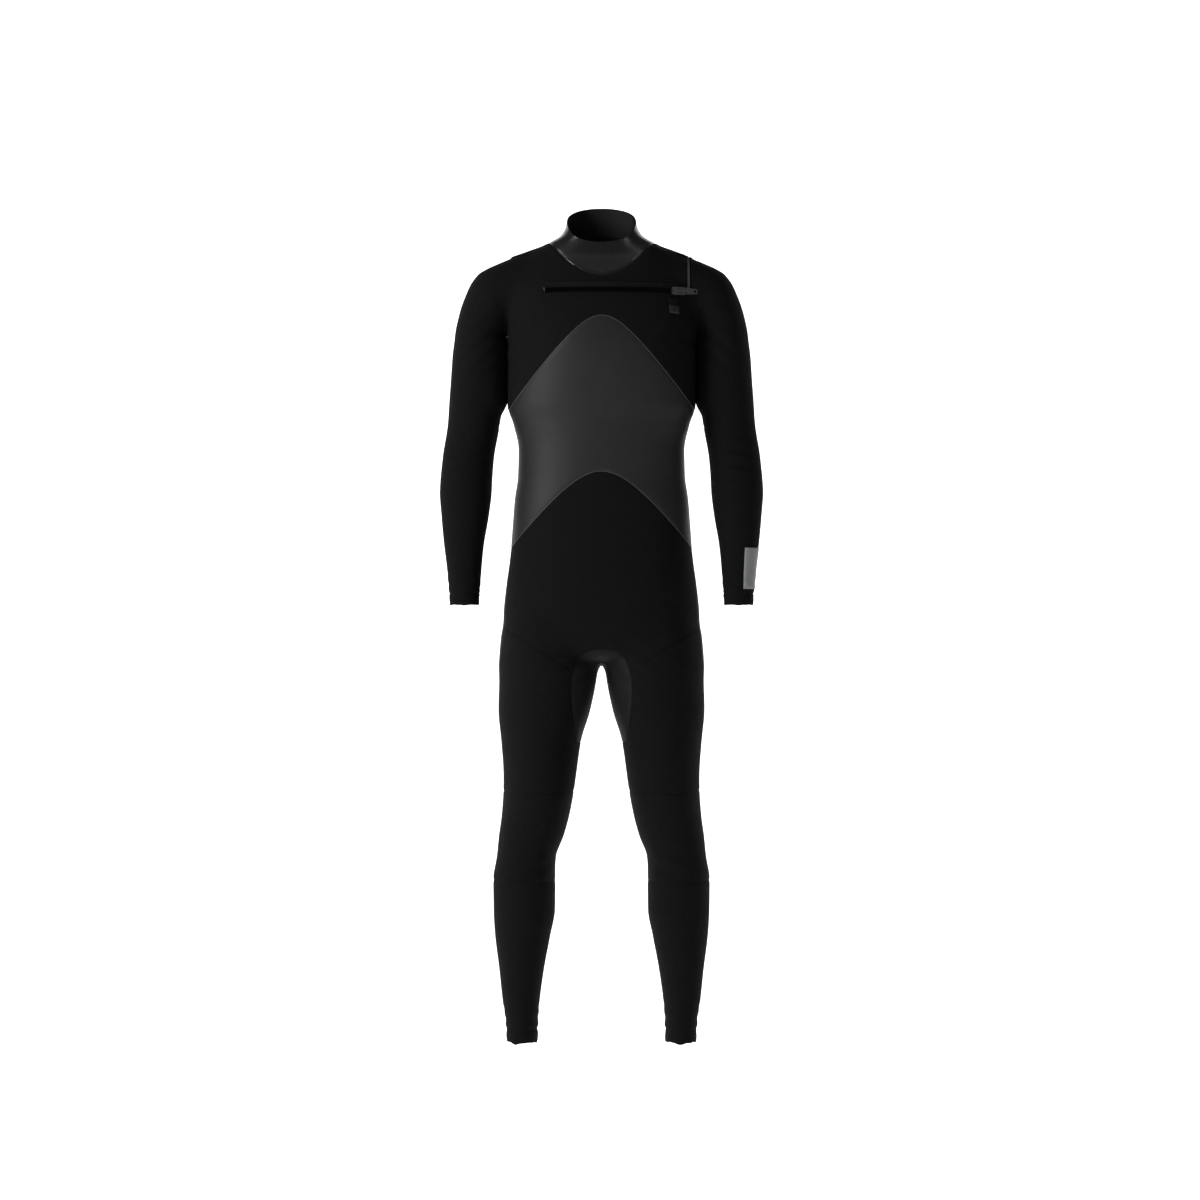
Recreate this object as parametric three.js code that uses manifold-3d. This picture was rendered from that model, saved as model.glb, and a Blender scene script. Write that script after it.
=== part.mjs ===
// Full wetsuit with a horizontal chest zip, hollow, standing as it is worn.
// Millimetres, +Z up, front faces -Y, +X is the wearer's left, origin at the fork of the legs.
//
// The suit is drawn as a tailor draws it: pattern rows give the body's outline at a height, the rows
// are graded to the wanted size, the neoprene wall is cut out of that body, and the wall is then cut
// along the seams into its panels.
import * as THREE from 'three';
import { mergeVertices } from 'three/addons/utils/BufferGeometryUtils.js';
import Module from 'manifold-3d';

const wasm = await Module();
wasm.setup();

// ---------------------------------------------------------------- driving dimensions
const PATTERN = { torso: 790, leg: 675, girth: 168, depth: 120 };  // the size the rows are drawn for
const TORSO_HEIGHT = 790;        // fork to the top of the collar's sides
const LEG_LENGTH = 675;          // fork to the ankle hem
const GIRTH = 168;               // half the width of the chest
const DEPTH = 120;               // middle of the body to the breast
const WALL = 4;                  // neoprene with its linings
const SEAM_GAP = 0.4;            // room left between two panels that are glued edge to edge
const FIT = 0.3;                 // room between other pieces that touch

const COLLAR_REACH = 95;         // half width of the collar where it meets the shoulders
const COLLAR_TILT = 0.45;        // rise of the collar's top per mm towards the back
const COLLAR_BACK_TILT = 0.3;    // rise of its seam behind the neck
const FLAP_FOLD_START = -76;     // where the flap begins to bend, towards the wearer's right
const FLAP_FOLD_END = 0;         // where it lifts as a whole
const FLAP_EDGE = 156;           // free edge of the flap on the wearer's left
const BINDING_WIDTH = 4;         // tape over that edge
const ARMHOLE = 158.4;           // armhole seam, from the middle
const SIDE_SEAM = 15;            // side seam, behind the middle of the body
const LEG_SEAM_START = 45;       // the thigh's front seam starts here, beside the gusset,
const LEG_SEAM_LOW = -15;        // at this height,
const LEG_SEAM_HIGH = 75;        // and has risen to this one at the outside of the hip
const GLUTE_SEAM = -45;          // the thigh's seam behind

const ZIP_START = -100;          // bottom stop, on the wearer's right
const ZIP_END = 152;             // top stops, on the wearer's left
const TAPE_WIDTH = 9;            // each zip tape, without its teeth
const TAPE_THICKNESS = 1.2;
const TOOTH_REACH = 3.4;         // each row of teeth
const TOOTH_THICKNESS = 2.8;
const ROW_GAP = 1.6;             // room between the rows, where the slider's web runs
const STOP_LENGTH = 3;
const SLIDER_LENGTH = 27;
const SLIDER_HEIGHT = 14;
const PLATE_THICKNESS = 1.8;
const CHANNEL = 3.8;             // room for the teeth between the slider's plates
const WEB_THICKNESS = 1;
const BRIDGE_HEIGHT = 3;         // the bar's size up and down
const BRIDGE_THICKNESS = 2;
const BRIDGE_ROOM = 2.8;         // between the plate and the bar, where the puller's pin turns
const PULLER_LENGTH = 37;
const PULLER_WIDTH = 13;
const PULLER_TIP_WIDTH = 9.5;
const PULLER_THICKNESS = 1.6;
const PULLER_HOLE = 5;
const PULLER_PIN = 2;
const BIB_HEIGHT = 34;
const BIB_THICKNESS = 1.5;

const WRIST_CUFF = 20;
const ANKLE_CUFF = 24;
const ELBOW_HALF = 56;           // half the length of the panels that bend at the elbow
const KNEE_HALF = 80;
const HIP_PANEL_HALF = 32;       // half the width of the side panel at the hip
const LABEL_THICKNESS = 0.9;
const TAB_PLACE = 113.5;         // its edge towards the middle
const TAB_WIDTH = 18;
const TAB_WEBBING = 14;          // length of the webbing, and of the rubber end below it
const TAB_RUBBER = 14;
const TAB_THICKNESS = 1.6;

// ---------------------------------------------------------------- grading
const GIRTH_GRADE = GIRTH / PATTERN.girth;
const DEPTH_GRADE = DEPTH / PATTERN.depth;

/** Height on the pattern to height on the suit: the torso and the legs are graded apart. */
function gradeHeight(z) {
  const grade = z > 0 ? TORSO_HEIGHT / PATTERN.torso : LEG_LENGTH / PATTERN.leg;
  return z * grade;
}

// ---------------------------------------------------------------- pattern rows
// Torso rows: height, half width, front, back.
const TORSO_ROWS = [
  [850, 60, -62, 76], [800, 61, -60, 79], [780, 64, -60, 81], [764, 73, -60, 84], [746, 104, -61, 92],
  [728, 140, -66, 98], [710, 160, -74, 102], [693, 169, -82, 106], [675, 172, -91, 110],
  [657, 173, -100, 114], [628, 172, -110, 119], [595, 170, -117, 124], [560, 168, -120, 127],
  [510, 168, -118, 125], [461, 168, -114, 117], [425, 157, -110, 110], [380, 148, -107, 103],
  [335, 149, -105, 98], [290, 155, -107, 103], [240, 159, -109, 112], [190, 163, -111, 122],
  [139, 170, -112, 131], [90, 175, -111, 135], [45, 176, -104, 127], [18, 120, -82, 100], [2, 44, -42, 52],
];
// Arm rows: height, middle across, half width, middle in depth, half depth.
const ARM_ROWS = [
  [722, 146, 14, 14, 24], [714, 152, 30, 14, 40], [704, 160, 45, 13, 52], [693, 166, 56, 13, 59],
  [675, 176, 59, 13, 64], [650, 188, 58, 14, 66], [610, 207, 51, 15, 64], [585, 216.5, 46, 15, 62],
  [540, 219, 48.5, 14, 59], [480, 223, 48.5, 12, 56], [422, 229, 46.5, 9, 52], [366, 238, 46, 5, 50],
  [310, 242, 46.5, -3, 49], [260, 243, 42, -11, 44], [211, 244.5, 35.5, -20, 37], [160, 243.5, 30, -29, 31],
  [104, 243, 26, -38, 30], [80, 243, 25, -42, 30],
];
// Leg rows: height, middle across, half width, front, back.
const LEG_ROWS = [
  [100, 88, 78, -92, 112], [45, 92, 88, -98, 120], [0, 94.5, 89, -100, 117], [-30, 96, 87, -99, 109],
  [-84, 102, 82, -97, 98], [-137, 107.5, 71.5, -94, 88], [-191, 109.5, 65.5, -90, 80],
  [-227, 112, 63, -86, 75], [-270, 117.5, 60.5, -77, 68], [-307, 125, 58, -70, 64], [-345, 134, 53, -64, 65],
  [-387, 138, 55.5, -59, 71], [-440, 138, 55, -55, 74], [-490, 141, 49, -50, 68], [-540, 142.5, 41, -46, 57],
  [-595, 143.5, 34, -43, 47], [-640, 142, 29, -42, 42], [-675, 141.5, 28, -42, 42], [-705, 141.5, 28, -42, 42],
];

/** Graded slices: { z, cx, hx, cy, hy }, from the top down. */
const torsoSlices = TORSO_ROWS.map(([z, half, front, back]) => ({
  z: gradeHeight(z),
  cx: 0,
  hx: half * GIRTH_GRADE,
  cy: (front + back) / 2 * DEPTH_GRADE,
  hy: (back - front) / 2 * DEPTH_GRADE,
}));
const armSlices = ARM_ROWS.map(([z, middle, half, middleDepth, halfDepth]) => ({
  z: gradeHeight(z),
  cx: middle * GIRTH_GRADE,
  hx: half * GIRTH_GRADE,
  cy: middleDepth * DEPTH_GRADE,
  hy: halfDepth * DEPTH_GRADE,
}));
const legSlices = LEG_ROWS.map(([z, middle, half, front, back]) => ({
  z: gradeHeight(z),
  cx: middle * GIRTH_GRADE,
  hx: half * GIRTH_GRADE,
  cy: (front + back) / 2 * DEPTH_GRADE,
  hy: (back - front) / 2 * DEPTH_GRADE,
}));

const TORSO_SQUARENESS = 2.25;   // exponent of the superellipse: 2 is an ellipse
const LIMB_SQUARENESS = 2.05;

/** A slice at any height, straight between its two neighbours. */
function sliceAt(slices, z) {
  let upper = 0;
  while (upper < slices.length - 2 && slices[upper + 1].z > z) {
    upper += 1;
  }
  const top = slices[upper];
  const low = slices[upper + 1];
  const share = (top.z - z) / (top.z - low.z);
  const mix = (key) => top[key] + (low[key] - top[key]) * share;
  return { z, cx: mix('cx'), hx: mix('hx'), cy: mix('cy'), hy: mix('hy') };
}

/** A point of a slice's outline; angle 0 is +X, and reach 0 is its middle. */
function slicePoint(slice, squareness, angle, reach = 1) {
  const round = (value) => Math.sign(value) * Math.abs(value) ** (2 / squareness);
  return new THREE.Vector3(
    slice.cx + slice.hx * reach * round(Math.cos(angle)),
    slice.cy + slice.hy * reach * round(Math.sin(angle)),
    slice.z,
  );
}

/** The torso's front surface: y at a place across and a height. */
function chestFront(x, z) {
  const slice = sliceAt(torsoSlices, z);
  const across = Math.min(Math.abs(x) / slice.hx, 1);
  return slice.cy - slice.hy * (1 - across ** TORSO_SQUARENESS) ** (1 / TORSO_SQUARENESS);
}

// ---------------------------------------------------------------- solids
function toManifold(geometry) {
  geometry.deleteAttribute('normal');
  geometry.deleteAttribute('uv');
  const merged = mergeVertices(geometry, 1e-4);
  return new wasm.Manifold(new wasm.Mesh({
    numProp: 3,
    vertProperties: Float32Array.from(merged.attributes.position.array),
    triVerts: Uint32Array.from(merged.index.array),
  }));
}

function toGeometry(solid) {
  const mesh = solid.getMesh();
  const geometry = new THREE.BufferGeometry();
  geometry.setAttribute('position', new THREE.BufferAttribute(Float32Array.from(mesh.vertProperties), 3));
  geometry.setIndex(new THREE.BufferAttribute(Uint32Array.from(mesh.triVerts), 1));
  geometry.computeVertexNormals();
  return geometry;
}

/** A cylinder's skin moved onto the slices: a closed limb. */
function loftGeometry(slices, squareness, segments, mirror) {
  const geometry = new THREE.CylinderGeometry(1, 1, 1, segments, slices.length - 1);
  const position = geometry.attributes.position;
  for (let i = 0; i < position.count; i += 1) {
    const row = Math.round((0.5 - position.getY(i)) * (slices.length - 1));
    const reach = Math.hypot(position.getX(i), position.getZ(i)) > 0.5 ? 1 : 0;
    const angle = Math.atan2(-position.getZ(i), position.getX(i));
    const slice = { ...slices[row], cx: slices[row].cx * mirror };
    const point = slicePoint(slice, squareness, angle, reach);
    position.setXYZ(i, point.x, point.y, point.z);
  }
  geometry.deleteAttribute('normal');
  geometry.deleteAttribute('uv');
  return mergeVertices(geometry, 1e-4);
}

/** The same limb, smaller by a thickness all round. */
function insetGeometry(geometry, thickness) {
  const inner = geometry.clone();
  inner.computeVertexNormals();
  const position = inner.attributes.position;
  const normal = inner.attributes.normal;
  for (let i = 0; i < position.count; i += 1) {
    position.setXYZ(
      i,
      position.getX(i) - normal.getX(i) * thickness,
      position.getY(i) - normal.getY(i) * thickness,
      position.getZ(i) - normal.getZ(i) * thickness,
    );
  }
  return inner;
}

/** The bodies whose union is the wearer's outline, moved inwards by a thickness. */
function bodyForm(thickness) {
  const limbs = [loftGeometry(torsoSlices, TORSO_SQUARENESS, 28, 1)];
  for (const side of [1, -1]) {
    limbs.push(loftGeometry(armSlices, LIMB_SQUARENESS, 14, side));
    limbs.push(loftGeometry(legSlices, LIMB_SQUARENESS, 16, side));
  }
  return limbs
    .map((limb) => toManifold(thickness > 0 ? insetGeometry(limb, thickness) : limb))
    .reduce((whole, limb) => whole.add(limb));
}

const shell = bodyForm(0).subtract(bodyForm(WALL));

// ---------------------------------------------------------------- cutting tools
const FAR = 1200;                // beyond every part of the suit
const FACET_TOLERANCE = 0.19;    // how far a facet may move when short edges are cleared

/** A box between two corners. */
function block(x0, x1, y0, y1, z0, z1) {
  const geometry = new THREE.BoxGeometry(x1 - x0, y1 - y0, z1 - z0);
  geometry.translate((x0 + x1) / 2, (y0 + y1) / 2, (z0 + z1) / 2);
  return toManifold(geometry);
}

/** A front-view outline of [x, z] points, cut through from y0 to y1. */
function frontPrism(points, y0, y1) {
  const outline = new THREE.Shape(points.map(([x, z]) => new THREE.Vector2(x, z)));
  const geometry = new THREE.ExtrudeGeometry(outline, { depth: y1 - y0, bevelEnabled: false });
  geometry.rotateX(Math.PI / 2);
  geometry.translate(0, y1, 0);
  return toManifold(geometry);
}

/** A side-view outline of [y, z] points, cut through from x0 to x1. */
function sidePrism(points, x0, x1) {
  const outline = new THREE.Shape(points.map(([y, z]) => new THREE.Vector2(y, z)));
  const geometry = new THREE.ExtrudeGeometry(outline, { depth: x1 - x0, bevelEnabled: false });
  geometry.applyMatrix4(new THREE.Matrix4().makeBasis(
    new THREE.Vector3(0, 1, 0),
    new THREE.Vector3(0, 0, 1),
    new THREE.Vector3(1, 0, 0),
  ));
  geometry.translate(x0, 0, 0);
  return toManifold(geometry);
}

/** Everything above a plane that rises by tilt per mm towards the back, from a height at y = 0. */
function aboveTiltedPlane(level, tilt) {
  const edge = [
    [-FAR, level - FAR * tilt],
    [FAR, level + FAR * tilt],
    [FAR, 2 * FAR],
    [-FAR, 2 * FAR],
  ];
  return sidePrism(edge, -FAR, FAR);
}

/** Everything between two heights. */
function levels(low, high) {
  return block(-FAR, FAR, -FAR, FAR, low, high);
}

/** The one body of a cut piece; a facet's corner can leave a crumb beside it. */
function mainBody(piece) {
  const bodies = piece.decompose();
  bodies.sort((a, b) => b.volume() - a.volume());
  return bodies[0].simplify(FACET_TOLERANCE);
}

const half = SEAM_GAP / 2;
const inFront = block(-FAR, FAR, -FAR, SIDE_SEAM - half, -FAR, FAR);
const behind = block(-FAR, FAR, SIDE_SEAM + half, FAR, -FAR, FAR);

// ---------------------------------------------------------------- seam places
const graded = {
  collarTop: gradeHeight(787),
  collarDip: gradeHeight(693),
  collarRise: gradeHeight(58),
  zip: gradeHeight(657),
  armpit: gradeHeight(585),
  armholeBend: gradeHeight(640),
  waistTop: gradeHeight(430),
  waist: gradeHeight(330),
  handLow: gradeHeight(60),
  elbow: gradeHeight(366),
  wristHem: gradeHeight(104),
  knee: gradeHeight(-307),
  ankleHem: gradeHeight(-675),
  gluteSeam: gradeHeight(GLUTE_SEAM),
  legSeamLow: gradeHeight(LEG_SEAM_LOW),
  legSeamHigh: gradeHeight(LEG_SEAM_HIGH),
};
const legSeamStart = LEG_SEAM_START * GIRTH_GRADE;
const sideWall = GIRTH_GRADE * 169.2;       // between the body's side and the arm's inner side
const hipWidth = GIRTH_GRADE * 190;          // between the hip and the hanging arm
const collarReach = COLLAR_REACH * GIRTH_GRADE;
const armhole = ARMHOLE * GIRTH_GRADE;
const flapEdge = FLAP_EDGE * GIRTH_GRADE;
const bindingInner = flapEdge - BINDING_WIDTH;
const zipBandHalf = ROW_GAP / 2 + TOOTH_REACH + TAPE_WIDTH;

/** A seam that falls to both sides from a rounded peak, as a function of the place across. */
function roundedPeak(peak, slope, rounding) {
  const round = rounding * GIRTH_GRADE;
  return (x) => gradeHeight(peak) - (Math.hypot(round, slope * x) - round);
}
/** A seam that bows evenly across the back. */
function bow(middle, fall) {
  return (x) => gradeHeight(middle - fall * (x / sideWall) ** 2);
}
// Edges of the smooth-skin panel; the front's and the back's meet at the sides.
const upperArch = roundedPeak(610, 1.28, 60);
const lowerArch = roundedPeak(338, 1.26, 90);
const upperArchBack = bow(522, 75);
const lowerArchBack = bow(251, 50);

/** A seam's line in front view, from one hip to the other, moved up by a shift. */
function seamPoints(curve, shift, steps = 18) {
  const points = [];
  for (let i = 0; i <= steps; i += 1) {
    const x = -hipWidth + (2 * hipWidth * i) / steps;
    points.push([x, curve(x) + shift]);
  }
  return points;
}
/** The torso's outline in front view between two seams. */
function torsoBand(lowCurve, highCurve) {
  return [...seamPoints(lowCurve, half), ...seamPoints(highCurve, -half).reverse()];
}

// The armhole runs straight down from the shoulder, then out to the armpit.
const shoulderTop = gradeHeight(900);
const armholeOutline = (shift) => [
  [armhole + shift, shoulderTop],
  [armhole + shift, graded.armholeBend],
  [sideWall + shift, graded.armpit],
  [sideWall + shift, graded.waistTop],
  [hipWidth + shift, graded.waist],
  [hipWidth + shift, graded.handLow],
  [FAR, graded.handLow],
  [FAR, shoulderTop],
];
const mirrored = (points) => points.map(([x, z]) => [-x, z]).reverse();
const armSide = {
  left: frontPrism(armholeOutline(half), -FAR, FAR),
  right: frontPrism(mirrored(armholeOutline(half)), -FAR, FAR),
};
const armSideGrown = frontPrism(armholeOutline(-half), -FAR, FAR)
  .add(frontPrism(mirrored(armholeOutline(-half)), -FAR, FAR));

// The collar's seam dips to the chest in front and follows a plane round the back of the neck.
const collarSeam = (x) => graded.collarDip + graded.collarRise * (Math.abs(x) / collarReach) ** 1.7;
function aboveCollarSeam(shift) {
  const steps = 16;
  const reach = 1.25 * collarReach;
  const outline = [];
  for (let i = 0; i <= steps; i += 1) {
    const x = -reach + (2 * reach * i) / steps;
    outline.push([x, collarSeam(x) + shift]);
  }
  outline.push([reach, shoulderTop], [-reach, shoulderTop]);
  const backLevel = graded.collarDip + graded.collarRise + shift - SIDE_SEAM * COLLAR_BACK_TILT;
  return frontPrism(outline, -FAR, SIDE_SEAM)
    .add(aboveTiltedPlane(backLevel, COLLAR_BACK_TILT).intersect(block(-FAR, FAR, SIDE_SEAM, FAR, 0, FAR)));
}
const collarRegion = aboveCollarSeam(half).subtract(aboveTiltedPlane(graded.collarTop, COLLAR_TILT));
const collarAndUp = aboveCollarSeam(-half);
const torso = shell.subtract(collarAndUp).subtract(armSideGrown);

// ---------------------------------------------------------------- model
const suit = new THREE.Group();
suit.name = 'full_wetsuit';

const finishes = {
  jersey: { color: 0x16171a, roughness: 0.92, metalness: 0 },
  smoothSkin: { color: 0x3a3b3e, roughness: 0.55, metalness: 0 },
  collarSkin: { color: 0x2c2d30, roughness: 0.38, metalness: 0 },
  gussetSkin: { color: 0x24262a, roughness: 0.6, metalness: 0 },
  binding: { color: 0x8d9094, roughness: 0.7, metalness: 0 },
  tape: { color: 0x0f1012, roughness: 0.85, metalness: 0 },
  teeth: { color: 0x141517, roughness: 0.4, metalness: 0 },
  metal: { color: 0x8f8d88, roughness: 0.3, metalness: 0.9 },
  darkMetal: { color: 0x3d3e40, roughness: 0.4, metalness: 0.8 },
  rubber: { color: 0x2b2e31, roughness: 0.6, metalness: 0 },
  label: { color: 0x9a9da0, roughness: 0.65, metalness: 0 },
};

function addPiece(name, solid, finish) {
  const mesh = new THREE.Mesh(toGeometry(mainBody(solid)), new THREE.MeshStandardMaterial(finishes[finish]));
  mesh.name = name;
  suit.add(mesh);
  return mesh;
}

// ---- crotch gusset: two lobes on the inner thighs, joined through the fork
const GUSSET_SIDE = [[20, 22], [36, 6], [48, -25], [50, -66], [46, -110], [44, -146]];
function gussetPrism(shift) {
  const side = GUSSET_SIDE.map(([x, z]) => [x * GIRTH_GRADE + shift, gradeHeight(z)]);
  const top = gradeHeight(28) + shift;
  const low = gradeHeight(GUSSET_SIDE.at(-1)[1]) - shift;
  side.at(-1)[1] = low;
  const outline = [[0, top], ...mirrored(side).reverse(), ...side.reverse()];
  return frontPrism(outline.reverse(), -FAR, FAR);
}
const gussetCut = gussetPrism(SEAM_GAP);
addPiece('crotch_gusset', torso.intersect(gussetPrism(0)), 'gussetSkin');

// ---- hip side panels: a strip down the outside of the hip and thigh with a slanted lower end
const HIP_PANEL_TOP = 200;
const HIP_PANEL_LOW = -155;
function hipPanelPrism(side, shift) {
  const wide = HIP_PANEL_HALF * DEPTH_GRADE + shift;
  const middle = 6 * DEPTH_GRADE;
  const slant = 14;
  const outline = [
    [middle - wide, gradeHeight(HIP_PANEL_LOW) - slant - shift],
    [middle + wide, gradeHeight(HIP_PANEL_LOW) + slant - shift],
    [middle + wide * 0.8, gradeHeight(HIP_PANEL_TOP) + shift],
    [middle - wide * 0.8, gradeHeight(HIP_PANEL_TOP) + shift],
  ];
  const near = 100 * GIRTH_GRADE;
  const far = 200 * GIRTH_GRADE;
  return side === 'left' ? sidePrism(outline, near, far) : sidePrism(outline, -far, -near);
}
const belowGussetAndHips = torso
  .subtract(gussetCut)
  .subtract(hipPanelPrism('left', SEAM_GAP))
  .subtract(hipPanelPrism('right', SEAM_GAP));
for (const side of ['left', 'right']) {
  addPiece(`${side}_hip_panel`, torso.intersect(hipPanelPrism(side, 0)), 'gussetSkin');
}

// ---- torso panels below the zip
const zipBottom = graded.zip - zipBandHalf;
const zipTop = graded.zip + zipBandHalf;
const zipBand = block(
  (ZIP_START - STOP_LENGTH - FIT) * GIRTH_GRADE,
  bindingInner + half,
  -FAR,
  SIDE_SEAM - half,
  zipBottom - FIT,
  zipTop + FIT,
);
const yokeSeam = () => graded.zip;
const torsoOpen = belowGussetAndHips.subtract(zipBand);

function frontBand(lowCurve, highCurve) {
  return torsoOpen.intersect(frontPrism(torsoBand(lowCurve, highCurve), -FAR, SIDE_SEAM - half));
}
function backBand(lowCurve, highCurve) {
  return torsoOpen.intersect(frontPrism(torsoBand(lowCurve, highCurve), SIDE_SEAM + half, FAR));
}
const wayUp = () => shoulderTop;
const gluteSeam = () => graded.gluteSeam;
addPiece('upper_chest_panel', frontBand(upperArch, yokeSeam), 'jersey');
addPiece('torso_panel_front', frontBand(lowerArch, upperArch), 'smoothSkin');
addPiece('torso_panel_back', backBand(lowerArchBack, upperArchBack), 'smoothSkin');
addPiece('back_yoke', backBand(upperArchBack, wayUp), 'jersey');
addPiece('seat_panel', backBand(gluteSeam, lowerArchBack), 'jersey');

/** The lower body's front reaches down to the slanted seams of the two thighs. */
function lowerFrontOutline() {
  const floor = [
    [-hipWidth, graded.legSeamHigh + half],
    [-legSeamStart, graded.legSeamLow + half],
    [legSeamStart, graded.legSeamLow + half],
    [hipWidth, graded.legSeamHigh + half],
  ];
  return [...floor, ...seamPoints(lowerArch, -half).reverse()];
}
addPiece(
  'lower_front_panel',
  torsoOpen.intersect(frontPrism(lowerFrontOutline(), -FAR, SIDE_SEAM - half)),
  'jersey',
);

// ---- thighs
function thighOutline(side) {
  const kneeTop = graded.knee + KNEE_HALF + half;
  const outline = [
    [0, kneeTop],
    [FAR, kneeTop],
    [FAR, graded.legSeamHigh - half],
    [hipWidth, graded.legSeamHigh - half],
    [legSeamStart, graded.legSeamLow - half],
    [0, graded.legSeamLow - half],
  ];
  return side === 'left' ? outline : mirrored(outline);
}
const armFree = block(-hipWidth, hipWidth, -FAR, FAR, -FAR, FAR);
const thighBackTop = graded.gluteSeam - half;
for (const side of ['left', 'right']) {
  const sign = side === 'left' ? 1 : -1;
  const front = frontPrism(thighOutline(side), -FAR, SIDE_SEAM - half).intersect(armFree);
  addPiece(`${side}_thigh_front`, belowGussetAndHips.intersect(front), 'jersey');
  const back = block(
    Math.min(0, sign * hipWidth),
    Math.max(0, sign * hipWidth),
    SIDE_SEAM + half,
    FAR,
    graded.knee + KNEE_HALF + half,
    thighBackTop,
  );
  addPiece(`${side}_thigh_back`, belowGussetAndHips.intersect(back), 'jersey');

  // knees, shins and calves, ankle cuffs
  const leg = shell.intersect(block(
    Math.min(0, sign * FAR),
    Math.max(0, sign * FAR),
    -FAR,
    FAR,
    graded.ankleHem,
    graded.knee + KNEE_HALF - half,
  ));
  const kneeBand = levels(graded.knee - KNEE_HALF + half, graded.knee + KNEE_HALF - half);
  addPiece(`${side}_knee_pad`, leg.intersect(kneeBand).intersect(inFront), 'gussetSkin');
  addPiece(`${side}_knee_back`, leg.intersect(kneeBand).intersect(behind), 'jersey');
  const cuffTop = graded.ankleHem + ANKLE_CUFF;
  const shinBand = levels(cuffTop + half, graded.knee - KNEE_HALF - half);
  addPiece(`${side}_shin_panel`, leg.intersect(shinBand).intersect(inFront), 'jersey');
  addPiece(`${side}_calf_panel`, leg.intersect(shinBand).intersect(behind), 'jersey');
  addPiece(`${side}_ankle_cuff`, leg.intersect(levels(graded.ankleHem, cuffTop - half)), 'jersey');
}

// ---- sleeves
const elbowSlice = sliceAt(armSlices, graded.elbow);
for (const side of ['left', 'right']) {
  const arm = shell.subtract(collarAndUp).intersect(armSide[side]);
  const elbowTop = graded.elbow + ELBOW_HALF;
  const elbowLow = graded.elbow - ELBOW_HALF;
  const cuffTop = graded.wristHem + WRIST_CUFF;
  const elbowMiddle = elbowSlice.cy;
  addPiece(`${side}_upper_sleeve`, arm.intersect(levels(elbowTop + half, shoulderTop)), 'jersey');
  const elbowBand = arm.intersect(levels(elbowLow + half, elbowTop - half));
  addPiece(
    `${side}_inner_elbow`,
    elbowBand.intersect(block(-FAR, FAR, -FAR, elbowMiddle - half, -FAR, FAR)),
    'jersey',
  );
  addPiece(
    `${side}_elbow_pad`,
    elbowBand.intersect(block(-FAR, FAR, elbowMiddle + half, FAR, -FAR, FAR)),
    'gussetSkin',
  );
  addPiece(`${side}_forearm_sleeve`, arm.intersect(levels(cuffTop + half, elbowLow - half)), 'jersey');
  addPiece(`${side}_wrist_cuff`, arm.intersect(levels(graded.wristHem, cuffTop - half)), 'jersey');
}

// ---- collar, chest flap and the yoke that stays behind it
addPiece('collar', shell.intersect(collarRegion), 'collarSkin');
const frontYoke = torsoOpen
  .intersect(block(-FAR, FAR, -FAR, SIDE_SEAM - half, graded.zip + half, FAR));
const foldStart = FLAP_FOLD_START * GIRTH_GRADE;
const foldEnd = FLAP_FOLD_END * GIRTH_GRADE;
addPiece('right_front_yoke', frontYoke.intersect(block(-FAR, foldStart - half, -FAR, FAR, -FAR, FAR)), 'jersey');
addPiece(
  'chest_flap_fold',
  frontYoke.intersect(block(foldStart + half, foldEnd - half, -FAR, FAR, -FAR, FAR)),
  'jersey',
);
addPiece(
  'chest_flap_panel',
  frontYoke.intersect(block(foldEnd + half, bindingInner - half, -FAR, FAR, -FAR, FAR)),
  'jersey',
);
addPiece(
  'flap_edge_binding',
  frontYoke.intersect(block(bindingInner + half, flapEdge, -FAR, FAR, -FAR, FAR)),
  'binding',
);

// ---- zip: everything on it follows one arc over the chest
const zipEnd = ZIP_END * GIRTH_GRADE;
const zipStart = ZIP_START * GIRTH_GRADE;
const arcReach = 130 * GIRTH_GRADE;
const arcSag = chestFront(arcReach, graded.zip) - chestFront(0, graded.zip);
const zipRadius = (arcReach ** 2 + arcSag ** 2) / (2 * arcSag);
const zipCentre = chestFront(0, graded.zip) + zipRadius;
const zipAngle = (x) => Math.asin(x / zipRadius);

/** A strip along the zip's arc, from one place across to another, between two radii and two heights. */
function zipStrip(x0, x1, inner, outer, low, high, steps) {
  const geometry = new THREE.BoxGeometry(1, 1, 1, steps, 1, 1);
  const position = geometry.attributes.position;
  for (let i = 0; i < position.count; i += 1) {
    const along = position.getX(i) + 0.5;
    const angle = zipAngle(x0) + (zipAngle(x1) - zipAngle(x0)) * along;
    const radius = position.getY(i) < 0 ? outer : inner;
    const z = position.getZ(i) < 0 ? low : high;
    position.setXYZ(i, radius * Math.sin(angle), zipCentre - radius * Math.cos(angle), z);
  }
  return toManifold(geometry);
}

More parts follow.
